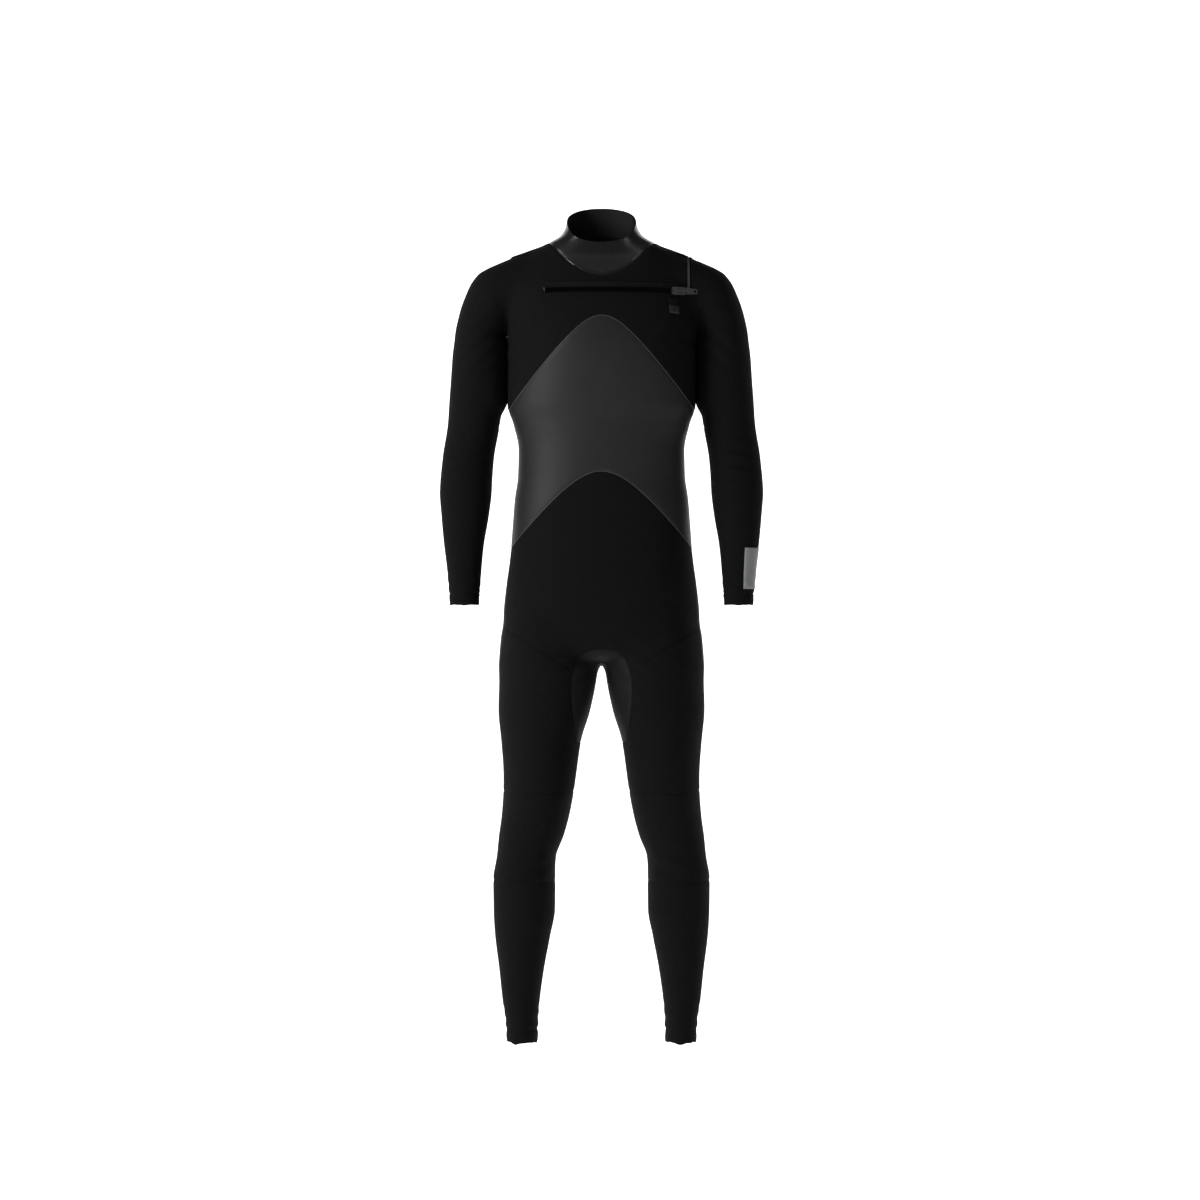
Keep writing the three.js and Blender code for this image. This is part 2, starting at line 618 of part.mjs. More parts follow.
const tapeMiddle = zipRadius - WALL / 2;
const toothLow = ROW_GAP / 2;
const toothHigh = ROW_GAP / 2 + TOOTH_REACH;
const TAPE_STEPS = 22;
for (const [name, sign] of [['upper', 1], ['lower', -1]]) {
  const row = [sign * toothLow, sign * toothHigh].map((z) => graded.zip + z).sort((a, b) => a - b);
  const tape = [sign * (toothHigh + FIT), sign * zipBandHalf].map((z) => graded.zip + z).sort((a, b) => a - b);
  addPiece(`${name}_zip_tape`, zipStrip(
    zipStart,
    zipEnd,
    tapeMiddle - TAPE_THICKNESS / 2,
    tapeMiddle + TAPE_THICKNESS / 2,
    tape[0],
    tape[1],
    TAPE_STEPS,
  ), 'tape');
  addPiece(`${name}_zip_teeth`, zipStrip(
    zipStart + FIT,
    zipEnd - STOP_LENGTH - FIT,
    tapeMiddle - TOOTH_THICKNESS / 2,
    tapeMiddle + TOOTH_THICKNESS / 2,
    row[0],
    row[1],
    TAPE_STEPS,
  ), 'teeth');
  addPiece(`${name}_top_stop`, zipStrip(
    zipEnd - STOP_LENGTH,
    zipEnd,
    tapeMiddle - TOOTH_THICKNESS / 2,
    tapeMiddle + TOOTH_THICKNESS / 2,
    row[0],
    row[1],
    1,
  ), 'metal');
}
addPiece('zip_bottom_stop', zipStrip(
  zipStart - STOP_LENGTH,
  zipStart - FIT,
  tapeMiddle - TOOTH_THICKNESS / 2,
  tapeMiddle + TOOTH_THICKNESS / 2,
  graded.zip - toothHigh,
  graded.zip + toothHigh,
  1,
), 'metal');

// ---- entry bib: the inner skin that stands up behind the closed zip
const bibOuter = tapeMiddle - CHANNEL / 2 - PLATE_THICKNESS - 1;
addPiece('entry_bib', zipStrip(
  foldStart + 12 * GIRTH_GRADE,
  zipEnd - 12 * GIRTH_GRADE,
  bibOuter - BIB_THICKNESS,
  bibOuter,
  graded.zip - zipBandHalf - BIB_HEIGHT / 2,
  graded.zip - ROW_GAP,
  14,
), 'smoothSkin');

// ---- slider and puller, drawn flat in their own frame and then set on the arc
// In that frame x runs along the zip, y points into the body, z is up, and the origin is mid-channel.
const sliderPlace = zipEnd - STOP_LENGTH - FIT - SLIDER_LENGTH / 2;
const sliderAngle = zipAngle(sliderPlace);
const sliderFrame = new THREE.Matrix4()
  .makeTranslation(tapeMiddle * Math.sin(sliderAngle), zipCentre - tapeMiddle * Math.cos(sliderAngle), graded.zip)
  .multiply(new THREE.Matrix4().makeRotationZ(sliderAngle));

/** A plate drawn in front view, [x, z], of a thickness, its near face at depth y. */
function plate(shape, y, thickness) {
  const geometry = new THREE.ExtrudeGeometry(shape, { depth: thickness, bevelEnabled: false, curveSegments: 6 });
  geometry.rotateX(Math.PI / 2);
  geometry.translate(0, y + thickness, 0);
  return toManifold(geometry);
}

function roundedBar(length, height, radius) {
  const shape = new THREE.Shape();
  const x = length / 2;
  const z = height / 2;
  shape.moveTo(-x + radius, -z);
  shape.lineTo(x - radius, -z);
  shape.absarc(x - radius, -z + radius, radius, -Math.PI / 2, 0);
  shape.lineTo(x, z - radius);
  shape.absarc(x - radius, z - radius, radius, 0, Math.PI / 2);
  shape.lineTo(-x + radius, z);
  shape.absarc(-x + radius, z - radius, radius, Math.PI / 2, Math.PI);
  shape.lineTo(-x, -z + radius);
  shape.absarc(-x + radius, -z + radius, radius, Math.PI, 1.5 * Math.PI);
  return shape;
}

const POST_LENGTH = 3;
const plateShape = () => roundedBar(SLIDER_LENGTH, SLIDER_HEIGHT, 4);
const frontPlateFace = -CHANNEL / 2 - PLATE_THICKNESS;
const bridgeFace = frontPlateFace - BRIDGE_ROOM - BRIDGE_THICKNESS;
const webLength = 9;
let slider = plate(plateShape(), frontPlateFace, PLATE_THICKNESS)
  .add(plate(plateShape(), CHANNEL / 2, PLATE_THICKNESS))
  .add(block(
    SLIDER_LENGTH / 2 - webLength - 2,
    SLIDER_LENGTH / 2 - 2,
    frontPlateFace + 0.5,
    CHANNEL / 2 + 0.5,
    -WEB_THICKNESS / 2,
    WEB_THICKNESS / 2,
  ))
  .add(plate(roundedBar(SLIDER_LENGTH, BRIDGE_HEIGHT, 1.4), bridgeFace, BRIDGE_THICKNESS));
for (const end of [-1, 1]) {
  const middle = end * (SLIDER_LENGTH / 2 - POST_LENGTH / 2 - 1);
  slider = slider.add(block(
    middle - POST_LENGTH / 2,
    middle + POST_LENGTH / 2,
    bridgeFace + 0.5,
    frontPlateFace + 0.5,
    -BRIDGE_HEIGHT / 2,
    BRIDGE_HEIGHT / 2,
  ));
}
addPiece('zip_slider', slider, 'metal').applyMatrix4(sliderFrame);

// The puller's window goes round the bridge, and its pin turns behind the bridge.
const pinDepth = frontPlateFace - BRIDGE_ROOM / 2;
const windowReach = SLIDER_LENGTH / 2 + 1.5;
const windowHalf = BRIDGE_HEIGHT / 2 + 1;
const pullerOutline = new THREE.Shape();
const near = PULLER_WIDTH / 2;
const tip = PULLER_TIP_WIDTH / 2;
const tipRound = 3.5;
const pinHalf = PULLER_PIN / 2;
pullerOutline.moveTo(-pinHalf, -near + 1.5);
pullerOutline.lineTo(1, -near);
pullerOutline.lineTo(PULLER_LENGTH - tipRound, -tip);
pullerOutline.absarc(PULLER_LENGTH - tipRound, -tip + tipRound, tipRound, -Math.PI / 2, 0);
pullerOutline.lineTo(PULLER_LENGTH, tip - tipRound);
pullerOutline.absarc(PULLER_LENGTH - tipRound, tip - tipRound, tipRound, 0, Math.PI / 2);
pullerOutline.lineTo(1, near);
pullerOutline.lineTo(-pinHalf, near - 1.5);
const pullerWindow = new THREE.Path();
pullerWindow.moveTo(pinHalf, -windowHalf);
pullerWindow.lineTo(pinHalf, windowHalf);
pullerWindow.lineTo(windowReach, windowHalf);
pullerWindow.lineTo(windowReach, -windowHalf);
const pullerHole = new THREE.Path();
pullerHole.absarc(PULLER_LENGTH - PULLER_HOLE / 2 - 2.4, 0, PULLER_HOLE / 2, 0, 2 * Math.PI, true);
pullerOutline.holes.push(pullerWindow, pullerHole);
const puller = plate(pullerOutline, pinDepth - PULLER_THICKNESS / 2, PULLER_THICKNESS);
addPiece('zip_puller', puller, 'darkMetal').applyMatrix4(sliderFrame);

// ---- hanging tab below the closed end of the zip
/** A thin patch that lies on the chest, from a place across and a height to another. */
function chestPatch(x0, x1, z0, z1, lift, thickness, steps) {
  const geometry = new THREE.BoxGeometry(1, 1, 1, 2, 1, steps);
  const position = geometry.attributes.position;
  for (let i = 0; i < position.count; i += 1) {
    const x = x0 + (x1 - x0) * (position.getX(i) + 0.5);
    const z = z0 + (z1 - z0) * (position.getZ(i) + 0.5);
    const depth = position.getY(i) < 0 ? lift + thickness : lift;
    position.setXYZ(i, x, chestFront(x, z) - depth, z);
  }
  return toManifold(geometry);
}
const tabLeft = TAB_PLACE * GIRTH_GRADE;
const tabTop = zipBottom - 1;
const tabMiddle = tabTop - TAB_WEBBING;
const tabLow = tabMiddle - TAB_RUBBER;
const tabLift = 1.2;
addPiece('tab_webbing', chestPatch(
  tabLeft, tabLeft + TAB_WIDTH, tabMiddle + FIT, tabTop, tabLift, TAB_THICKNESS, 2,
), 'jersey');
addPiece('tab_rubber_end', chestPatch(
  tabLeft, tabLeft + TAB_WIDTH, tabLow, tabMiddle, tabLift, TAB_THICKNESS + 0.6, 2,
), 'rubber');

// ---- rubber patch on the left forearm, without any marking
const LABEL_LOW = 132;
const LABEL_HIGH = 205;
function forearmPatch(angle0, angle1, low, high, lift, thickness) {
  const geometry = new THREE.BoxGeometry(1, 1, 1, 6, 1, 4);
  const position = geometry.attributes.position;
  for (let i = 0; i < position.count; i += 1) {
    const angle = angle0 + (angle1 - angle0) * (position.getX(i) + 0.5);
    const z = low + (high - low) * (position.getZ(i) + 0.5);
    const slice = sliceAt(armSlices, z);
    const depth = position.getY(i) < 0 ? lift + thickness : lift;
    const grown = { ...slice, hx: slice.hx + depth, hy: slice.hy + depth };
    const point = slicePoint(grown, LIMB_SQUARENESS, angle);
    position.setXYZ(i, point.x, point.y, point.z);
  }
  return toManifold(geometry);
}
addPiece('forearm_label', forearmPatch(
  -Math.PI * 0.42,
  -Math.PI * 0.06,
  gradeHeight(LABEL_LOW),
  gradeHeight(LABEL_HIGH),
  0.5,
  LABEL_THICKNESS,
), 'label');

export default suit;
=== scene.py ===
# %% [markdown]
# # A full wetsuit
#
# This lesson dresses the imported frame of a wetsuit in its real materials. A wetsuit is sewn from flat
# panels of foam rubber, but once it is worn it takes the shape of the body inside it. So the lesson first
# makes one smooth skin for that whole shape, cuts the skin along the seams, and gives each panel its
# thickness. The frame gives the bodies that move: the suit, the chest flap, the slider and its puller,
# the forearms and the shins.

# %% Load the frame
import math

import bmesh
import bpy
import numpy as np
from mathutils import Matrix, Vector


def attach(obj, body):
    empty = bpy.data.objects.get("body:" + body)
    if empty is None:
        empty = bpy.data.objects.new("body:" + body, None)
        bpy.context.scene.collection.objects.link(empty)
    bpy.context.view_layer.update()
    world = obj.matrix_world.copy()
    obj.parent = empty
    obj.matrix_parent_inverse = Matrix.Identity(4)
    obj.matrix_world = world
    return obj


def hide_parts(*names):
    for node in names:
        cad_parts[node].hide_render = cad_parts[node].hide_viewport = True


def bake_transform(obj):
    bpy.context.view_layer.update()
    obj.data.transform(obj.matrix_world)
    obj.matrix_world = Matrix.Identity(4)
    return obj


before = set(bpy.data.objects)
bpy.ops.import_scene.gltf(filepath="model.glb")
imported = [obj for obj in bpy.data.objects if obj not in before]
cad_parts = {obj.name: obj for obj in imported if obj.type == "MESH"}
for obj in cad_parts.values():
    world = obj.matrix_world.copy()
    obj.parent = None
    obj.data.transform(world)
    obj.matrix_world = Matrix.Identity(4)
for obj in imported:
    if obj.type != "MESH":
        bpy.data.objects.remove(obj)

bpy.context.view_layer.update()
MM = 0.001

# %% [markdown]
# ## The pattern rows
#
# A tailor's pattern gives the body's outline at a number of heights. Each row here is such an outline: a
# rounded oval with its middle, its half width and its half depth. The same rows drive the frame, so the
# panels made here fall on the frame's panels. Between two rows the frame runs straight, while a smooth
# curve is drawn here, because cloth on a body has no facets. The curve never swings past a row.

# %% Rows of the torso, an arm and a leg
TORSO_ROWS = [  # height, half width, front, back
    [850, 60, -62, 76], [800, 61, -60, 79], [780, 64, -60, 81], [764, 73, -60, 84],
    [746, 104, -61, 92], [728, 140, -66, 98], [710, 160, -74, 102], [693, 169, -82, 106],
    [675, 172, -91, 110], [657, 173, -100, 114], [628, 172, -110, 119], [595, 170, -117, 124],
    [560, 168, -120, 127], [510, 168, -118, 125], [461, 168, -114, 117], [425, 157, -110, 110],
    [380, 148, -107, 103], [335, 149, -105, 98], [290, 155, -107, 103], [240, 159, -109, 112],
    [190, 163, -111, 122], [139, 170, -112, 131], [90, 175, -111, 135], [45, 176, -104, 127],
    [18, 120, -82, 100], [2, 44, -42, 52],
]
ARM_ROWS = [  # height, middle across, half width, middle in depth, half depth
    [722, 146, 14, 14, 24], [714, 152, 30, 14, 40], [704, 160, 45, 13, 52], [693, 166, 56, 13, 59],
    [675, 176, 59, 13, 64], [650, 188, 58, 14, 66], [610, 207, 51, 15, 64], [585, 216.5, 46, 15, 62],
    [540, 219, 48.5, 14, 59], [480, 223, 48.5, 12, 56], [422, 229, 46.5, 9, 52],
    [366, 238, 46, 5, 50], [310, 242, 46.5, -3, 49], [260, 243, 42, -11, 44],
    [211, 244.5, 35.5, -20, 37], [160, 243.5, 30, -29, 31], [104, 243, 26, -38, 30],
    [80, 243, 25, -42, 30],
]
LEG_ROWS = [  # height, middle across, half width, front, back
    [100, 88, 78, -92, 112], [45, 92, 88, -98, 120], [0, 94.5, 89, -100, 117],
    [-30, 96, 87, -99, 109], [-84, 102, 82, -97, 98], [-137, 107.5, 71.5, -94, 88],
    [-191, 109.5, 65.5, -90, 80], [-227, 112, 63, -86, 75], [-270, 117.5, 60.5, -77, 68],
    [-307, 125, 58, -70, 64], [-345, 134, 53, -64, 65], [-387, 138, 55.5, -59, 71],
    [-440, 138, 55, -55, 74], [-490, 141, 49, -50, 68], [-540, 142.5, 41, -46, 57],
    [-595, 143.5, 34, -43, 47], [-640, 142, 29, -42, 42], [-675, 141.5, 28, -42, 42],
    [-705, 141.5, 28, -42, 42],
]


class Limb:
    """A limb's outline at any height, on a smooth curve through its rows, all in metres."""

    def __init__(self, rows, squareness):
        rows = np.array(sorted(rows), float) * MM
        self.heights = rows[:, 0]
        self.values = rows[:, 1:]
        rise = np.diff(self.values, axis=0) / np.diff(self.heights)[:, None]
        before, after = rise[:-1], rise[1:]
        same_way = before * after > 0
        shared = 2 * before * after / np.where(same_way, before + after, 1)
        self.slopes = np.concatenate([rise[:1], np.where(same_way, shared, 0), rise[-1:]])
        self.squareness = squareness

    def outline(self, z):
        """Middle across, half width, middle in depth and half depth, at heights z."""
        z = np.clip(z, self.heights[0], self.heights[-1])
        low = np.clip(np.searchsorted(self.heights, z) - 1, 0, len(self.heights) - 2)
        span = (self.heights[low + 1] - self.heights[low])[..., None]
        t = (z - self.heights[low])[..., None] / span
        rise = t * t * (3 - 2 * t)
        made = self.values[low] * (1 - rise) + self.values[low + 1] * rise
        made += self.slopes[low] * span * t * (1 - t) ** 2
        made -= self.slopes[low + 1] * span * t * t * (1 - t)
        return np.moveaxis(made, -1, 0)

    def distance(self, x, y, z):
        """About how far a point is outside the limb."""
        middle, half_width, depth, half_depth = self.outline(z)
        across = np.abs(x - middle)
        inward = np.abs(y - depth)
        power = self.squareness
        oval = ((across / half_width) ** power + (inward / half_depth) ** power) ** (1 / power)
        reach = np.hypot(across, inward)
        side = reach * (1 - 1 / np.maximum(oval, 1e-6))
        return np.maximum(side, np.maximum(z - self.heights[-1], self.heights[0] - z))


def front_and_back(rows, has_middle):
    """Rows given by their front and back, turned into a middle and a half depth."""
    made = []
    for row in rows:
        z, *across, front, back = row
        middle = across if has_middle else [0, *across]
        made.append([z, *middle, (front + back) / 2, (back - front) / 2])
    return made


torso_limb = Limb(front_and_back(TORSO_ROWS, False), 2.25)
arm_limb = Limb(ARM_ROWS, 2.05)
leg_limb = Limb(front_and_back(LEG_ROWS, True), 2.05)
print("half width of the chest:", torso_limb.outline(np.array([0.56]))[1])

# %% [markdown]
# ## One skin for the whole body
#
# Joining limbs as solids would leave a hard crease at each shoulder. A distance field is kinder: each limb
# says how far a point is from it, and a rounded minimum of those distances melts the limbs together. The
# armpits and the fork are the hard places. There the sleeve lies close to the side, and the two thighs
# close to each other, and they have to stay apart, so the arm and the trunk are made as two skins that
# agree only above the armpit.

# %% Distance to the trunk and to the arms
ARMPIT = 0.587


def melt(a, b, width):
    """The smaller of two distances, rounded where they are within a width of each other."""
    near = np.maximum(width - np.abs(a - b), 0)
    return np.minimum(a, b) - near * near / (4 * width)


def ramp(value, start, end):
    """0 before start and 1 after end, with a soft turn at both."""
    t = np.clip((value - start) / (end - start), 0, 1)
    return t * t * (3 - 2 * t)


def arm_distance(x, y, z):
    """Distance to the hanging arm, whose soft inner side leans on the chest below the armpit."""
    x = np.abs(x)
    middle, half_width = arm_limb.outline(z)[:2]
    chest_half_width = torso_limb.outline(z)[1]
    gap = middle - half_width - chest_half_width
    lean = np.clip(gap + 0.0008, 0, 0.024) * ramp(z, 0.440, 0.472) * (1 - ramp(z, ARMPIT, 0.625))
    inner_side = 1 - ramp(x, middle - 0.045, middle)
    return arm_limb.distance(x + lean * inner_side, y, z)


def trunk_only(x, y, z):
    legs = leg_limb.distance(np.abs(x), y, z)
    at_fork = (1 - ramp(z, 0.03, 0.09)) * (1 - ramp(np.abs(x), 0.07, 0.13))
    return melt(torso_limb.distance(x, y, z), legs, 0.003 + 0.021 * at_fork)


def body_distance(x, y, z, part):
    """Distance to the body, where below the armpit only the trunk or only the arms count."""
    trunk = trunk_only(x, y, z)
    arms = arm_distance(x, y, z)
    hidden = 4 * np.maximum(ARMPIT - z, 0)
    if part == "trunk":
        arms = arms + hidden
    else:
        trunk = trunk + hidden
    return melt(trunk, arms, 0.006 + 0.03 * ramp(z, 0.60, 0.67))


class Skin:
    """A triangle mesh that stays on the body's surface."""

    def __init__(self, part):
        self.part = part
        self.points = None
        self.triangles = None
        self.fixed = None

    def distance(self, points):
        return body_distance(points[:, 0], points[:, 1], points[:, 2], self.part)

    def slope(self, points, of=None, step=4e-4):
        """Which way a function of place grows fastest, and how fast; the distance if none is given."""
        of = of or self.distance
        made = np.empty_like(points)
        for axis in range(3):
            shift = np.zeros(3)
            shift[axis] = step
            made[:, axis] = (of(points + shift) - of(points - shift)) / (2 * step)
        return made

    def settle(self, points, rounds=3):
        """Moves points straight onto the surface."""
        for _ in range(rounds):
            slope = self.slope(points)
            steep = np.maximum((slope * slope).sum(1), 0.05)
            points = points - slope * (self.distance(points) / steep)[:, None]
        return points

# %% [markdown]
# ## From a field to a mesh
#
# A grid of small cells is laid through space. Each cell that the surface passes through gets one point,
# and each grid line that pierces the surface gets one four-sided face between its four cells. The points
# are then evened out among their neighbours and settled on the surface a few times, which gives a mesh as
# regular as a knitted net.

# %% A net over the surface
CELL = 0.005


def corner_views(solid):
    """The eight corner values of every cell of a grid, as views of the grid."""
    ends = (slice(0, -1), slice(1, None))
    return [solid[i, j, k] for i in ends for j in ends for k in ends]


def net_over(skin, low, high):
    """Four-sided faces over the zero of the skin's distance, inside a box."""
    axes = [np.arange(a, b + CELL, CELL) for a, b in zip(low, high)]
    solid = body_distance(
        axes[0][:, None, None], axes[1][None, :, None], axes[2][None, None, :], skin.part
    ) < 0
    filled = sum(view.astype(np.int8) for view in corner_views(solid))
    crossed = (filled > 0) & (filled < 8)
    number = np.full(crossed.shape, -1)
    number[crossed] = np.arange(crossed.sum())
    cells = np.argwhere(crossed)
    points = np.stack([axes[k][cells[:, k]] + CELL / 2 for k in range(3)], axis=1)
    faces = []
    for axis in range(3):
        one, two = (axis + 1) % 3, (axis + 2) % 3
        lower = np.take(solid, range(0, solid.shape[axis] - 1), axis)
        upper = np.take(solid, range(1, solid.shape[axis]), axis)
        edges = np.argwhere(lower != upper)
        inner = np.ones(len(edges), bool)
        for other in (one, two):
            inner &= (edges[:, other] > 0) & (edges[:, other] < solid.shape[other] - 1)
        edges = edges[inner]
        outward = lower[tuple(edges.T)]
        ring = []
        for step_one, step_two in ((0, 0), (1, 0), (1, 1), (0, 1)):
            cell = edges.copy()
            cell[:, one] -= step_one
            cell[:, two] -= step_two
            ring.append(number[tuple(cell.T)])
        quads = np.stack(ring, axis=1)
        quads[~outward] = quads[~outward][:, ::-1]
        faces.append(quads)
    return points, np.concatenate(faces)


def even_out(skin, points, quads, rounds):
    """Slides the points among their neighbours, on the surface, until the faces are alike."""
    pairs = np.concatenate([quads[:, [i, (i + 1) % 4]] for i in range(4)])
    pairs = np.unique(np.sort(pairs, axis=1), axis=0)
    count = np.bincount(pairs.ravel(), minlength=len(points))[:, None]
    for _ in range(rounds):
        total = np.zeros_like(points)
        np.add.at(total, pairs[:, 0], points[pairs[:, 1]])
        np.add.at(total, pairs[:, 1], points[pairs[:, 0]])
        points = skin.settle(0.4 * points + 0.6 * total / count, rounds=2)
    return points


def halves(points, quads):
    """Each four-sided face as two triangles, split along its shorter diagonal."""
    first = np.linalg.norm(points[quads[:, 0]] - points[quads[:, 2]], axis=1)
    second = np.linalg.norm(points[quads[:, 1]] - points[quads[:, 3]], axis=1)
    turned = np.where((first <= second)[:, None], quads, np.roll(quads, -1, axis=1))
    return np.concatenate([turned[:, [0, 1, 2]], turned[:, [0, 2, 3]]])


def make_skin(part, low, high):
    skin = Skin(part)
    points, quads = net_over(skin, low, high)
    points = skin.settle(points, rounds=3)
    points = even_out(skin, points, quads, rounds=5)
    skin.points = points
    skin.triangles = halves(points, quads)
    print(part, "skin:", len(points), "points and", len(skin.triangles), "triangles")
    return skin


trunk_skin = make_skin("trunk", (-0.205, -0.14, -0.70), (0.205, 0.155, 0.835))
arm_skin = make_skin("arms", (0.12, -0.11, 0.085), (0.31, 0.10, 0.745))

# %% [markdown]
# ## Seams
#
# A seam is written as a function that is zero on it, positive on one side and negative on the other, in
# metres. To cut along it, points that almost touch it slide onto it, and every triangle edge that still
# crosses it is divided there. The skin keeps its shape, and now has clean edges where scissors would go.

# %% Cutting a skin along a seam


def divide(skin, scalar, crossing):
    """Divides the unique edges marked in crossing where the scalar is zero."""
    pairs, place = edge_table(skin.triangles)
    cut = crossing[place.ravel()].reshape(-1, 3)
    ends = pairs[crossing]
    share = scalar[ends[:, 0]] / (scalar[ends[:, 0]] - scalar[ends[:, 1]])
    made = skin.points[ends[:, 0]] * (1 - share[:, None]) + skin.points[ends[:, 1]] * share[:, None]
    made = skin.settle(made, rounds=2)
    new_number = np.full(len(pairs), -1)
    new_number[crossing] = len(skin.points) + np.arange(len(made))
    middle = new_number[place].reshape(-1, 3)
    skin.points = np.concatenate([skin.points, made])
    skin.triangles = divided(skin.triangles, middle, cut)
    return len(made)


def edge_table(triangles):
    """The unique edges, and for each triangle's three edges which one it is."""
    edges = np.stack([triangles, np.roll(triangles, -1, axis=1)], axis=2).reshape(-1, 2)
    pairs, place = np.unique(np.sort(edges, axis=1), axis=0, return_inverse=True)
    return pairs, place.ravel().reshape(-1, 3)


def divided(triangles, middle, cut):
    """New triangles for those with cut edges. Edge 0 runs from corner 0 to 1, and so on."""
    count = cut.sum(1)
    made = [triangles[count == 0]]
    for turn in range(3):
        t = np.roll(triangles, -turn, axis=1)
        m = np.roll(middle, -turn, axis=1)
        c = np.roll(cut, -turn, axis=1)
        one = (count == 1) & c[:, 0]
        a, b, d = t[one].T
        n = m[one, 0]
        made += [np.stack([a, n, d], 1), np.stack([n, b, d], 1)]
        two = (count == 2) & c[:, 0] & c[:, 1]
        a, b, d = t[two].T
        n, k = m[two, 0], m[two, 1]
        made += [np.stack([n, b, k], 1), np.stack([a, n, k], 1), np.stack([a, k, d], 1)]
    three = count == 3
    a, b, d = triangles[three].T
    n, k, q = middle[three].T
    made += [np.stack(face, 1) for face in ([a, n, q], [n, b, k], [k, d, q], [n, k, q])]
    return np.concatenate(made)


def cut_along(skin, seam, where=None):
    """Gives the skin edges along seam(points) = 0, only among the triangles that where picks."""
    active = np.ones(len(skin.triangles), bool)
    if where is not None:
        active = where(skin.points[skin.triangles].mean(1))
    touched = np.zeros(len(skin.points), bool)
    touched[skin.triangles[active]] = True
    values = seam(skin.points)
    near = np.flatnonzero(touched & (np.abs(values) < 0.5 * CELL))
    slope = skin.slope(skin.points[near], seam)
    normal = skin.slope(skin.points[near])
    normal /= np.linalg.norm(normal, axis=1)[:, None]
    slope -= normal * (slope * normal).sum(1)[:, None]
    steep = np.maximum((slope * slope).sum(1), 0.05)
    step = slope * (values[near] / steep)[:, None]
    close = np.linalg.norm(step, axis=1) < 0.3 * CELL
    close &= ~skin.fixed[near] if skin.fixed is not None else True
    moved = near[close]
    skin.points[moved] = skin.settle(skin.points[moved] - step[close], rounds=1)
    values = seam(skin.points)
    values[moved] = 0
    values[np.abs(values) < 1e-7] = 0
    pairs, place = edge_table(skin.triangles)
    in_reach = np.zeros(len(pairs), bool)
    in_reach[place[active]] = True
    crossing = in_reach & (values[pairs[:, 0]] * values[pairs[:, 1]] < 0)
    count = divide(skin, values, crossing)
    on_seam = np.zeros(len(skin.points), bool)
    on_seam[moved] = True
    on_seam[len(skin.points) - count:] = True
    old = skin.fixed if skin.fixed is not None else np.zeros(0, bool)
    skin.fixed = on_seam
    skin.fixed[:len(old)] |= old
    return count


def trim(skin, keep):
    """Keeps the triangles whose middle passes the test, and drops points that nothing uses."""
    skin.triangles = skin.triangles[keep(skin.points[skin.triangles].mean(1))]
    used, place = np.unique(skin.triangles, return_inverse=True)
    skin.points = skin.points[used]
    skin.fixed = skin.fixed[used]
    skin.triangles = place.reshape(-1, 3)

# %% [markdown]
# ## Where the seams run
#
# The smooth front panel is bounded by two rounded peaks, the collar's seam dips to the chest, and the
# gusset is a pair of lobes on the inner thighs. Each is written once, in metres, as the height or outline
# that the frame's panel has too.

# %% Heights and outlines of the seams
SIDE_SEAM = 0.015
ZIP_HEIGHT = 0.657
ZIP_LIP = 0.0049          # half the slot between the two lips over the zip
ZIP_REACH = 0.006
ZIP_LEFT, ZIP_RIGHT = 0.1522, -0.1033
FOLD_START, FOLD_END = -0.076, 0.0
FLAP_EDGE = 0.156
KNEE_TOP, KNEE_LOW = -0.227, -0.387
ELBOW_TOP, ELBOW_LOW, ELBOW_MIDDLE = 0.422, 0.310, 0.005
ANKLE_HEM, ANKLE_SEAM = -0.675, -0.651
WRIST_HEM, WRIST_SEAM = 0.104, 0.124
UPPER_PEAK, LOWER_PEAK = (0.610, 1.28, 0.060), (0.338, 1.26, 0.090)   # height, slope, rounding
UPPER_BACK, LOWER_BACK = (0.522, 0.075), (0.251, 0.050)               # height, fall to the side
HALF_BACK = 0.1692
COLLAR_DIP, COLLAR_RISE, COLLAR_BACK = 0.683, 0.068, 0.751
NECK_RIM, NECK_SLOPE, CHIN_DIP = 0.787, 0.45, 0.015
LEG_SEAM_START, LEG_SEAM_SLOPE, LEG_SEAM_LOW, SEAT_SEAM = 0.045, 0.62, -0.015, -0.045


def in_front(p):
    return p[:, 1] < SIDE_SEAM


def peak(x, height, slope, rounding):
    """A rounded peak with straight flanks."""
    return height - (np.hypot(rounding, slope * x) - rounding)


def bow(x, height, fall):
    """A shallow arc that falls towards the sides."""
    return height - fall * (x / HALF_BACK) ** 2


def upper_arch(p):
    return p[:, 2] - np.where(in_front(p), peak(p[:, 0], *UPPER_PEAK), bow(p[:, 0], *UPPER_BACK))


def lower_arch(p):
    return p[:, 2] - np.where(in_front(p), peak(p[:, 0], *LOWER_PEAK), bow(p[:, 0], *LOWER_BACK))


def leg_seam(p):
    rise = np.maximum(np.abs(p[:, 0]) - LEG_SEAM_START, 0) * LEG_SEAM_SLOPE
    return p[:, 2] - np.where(in_front(p), rise + LEG_SEAM_LOW, SEAT_SEAM)


def collar_seam(p):
    front = COLLAR_DIP + COLLAR_RISE * (np.abs(p[:, 0]) / 0.095) ** 1.9
    back = COLLAR_BACK + 0.3 * (p[:, 1] - SIDE_SEAM)
    return p[:, 2] - np.where(in_front(p), front, back)


def collar_top(p):
    """The neck's rim, which is higher at the back and dips under the chin."""
    dip = CHIN_DIP * ramp(-p[:, 1], 0.005, 0.060) * (1 - (p[:, 0] / 0.075) ** 2)
    return p[:, 2] - NECK_RIM - NECK_SLOPE * p[:, 1] + np.maximum(dip, 0)


def armhole(p):
    seam_x = np.interp(p[:, 2], [0.430, 0.570, 0.585, 0.640], [0.19, 0.173, 0.170, 0.1584])
    return np.abs(p[:, 0]) - seam_x


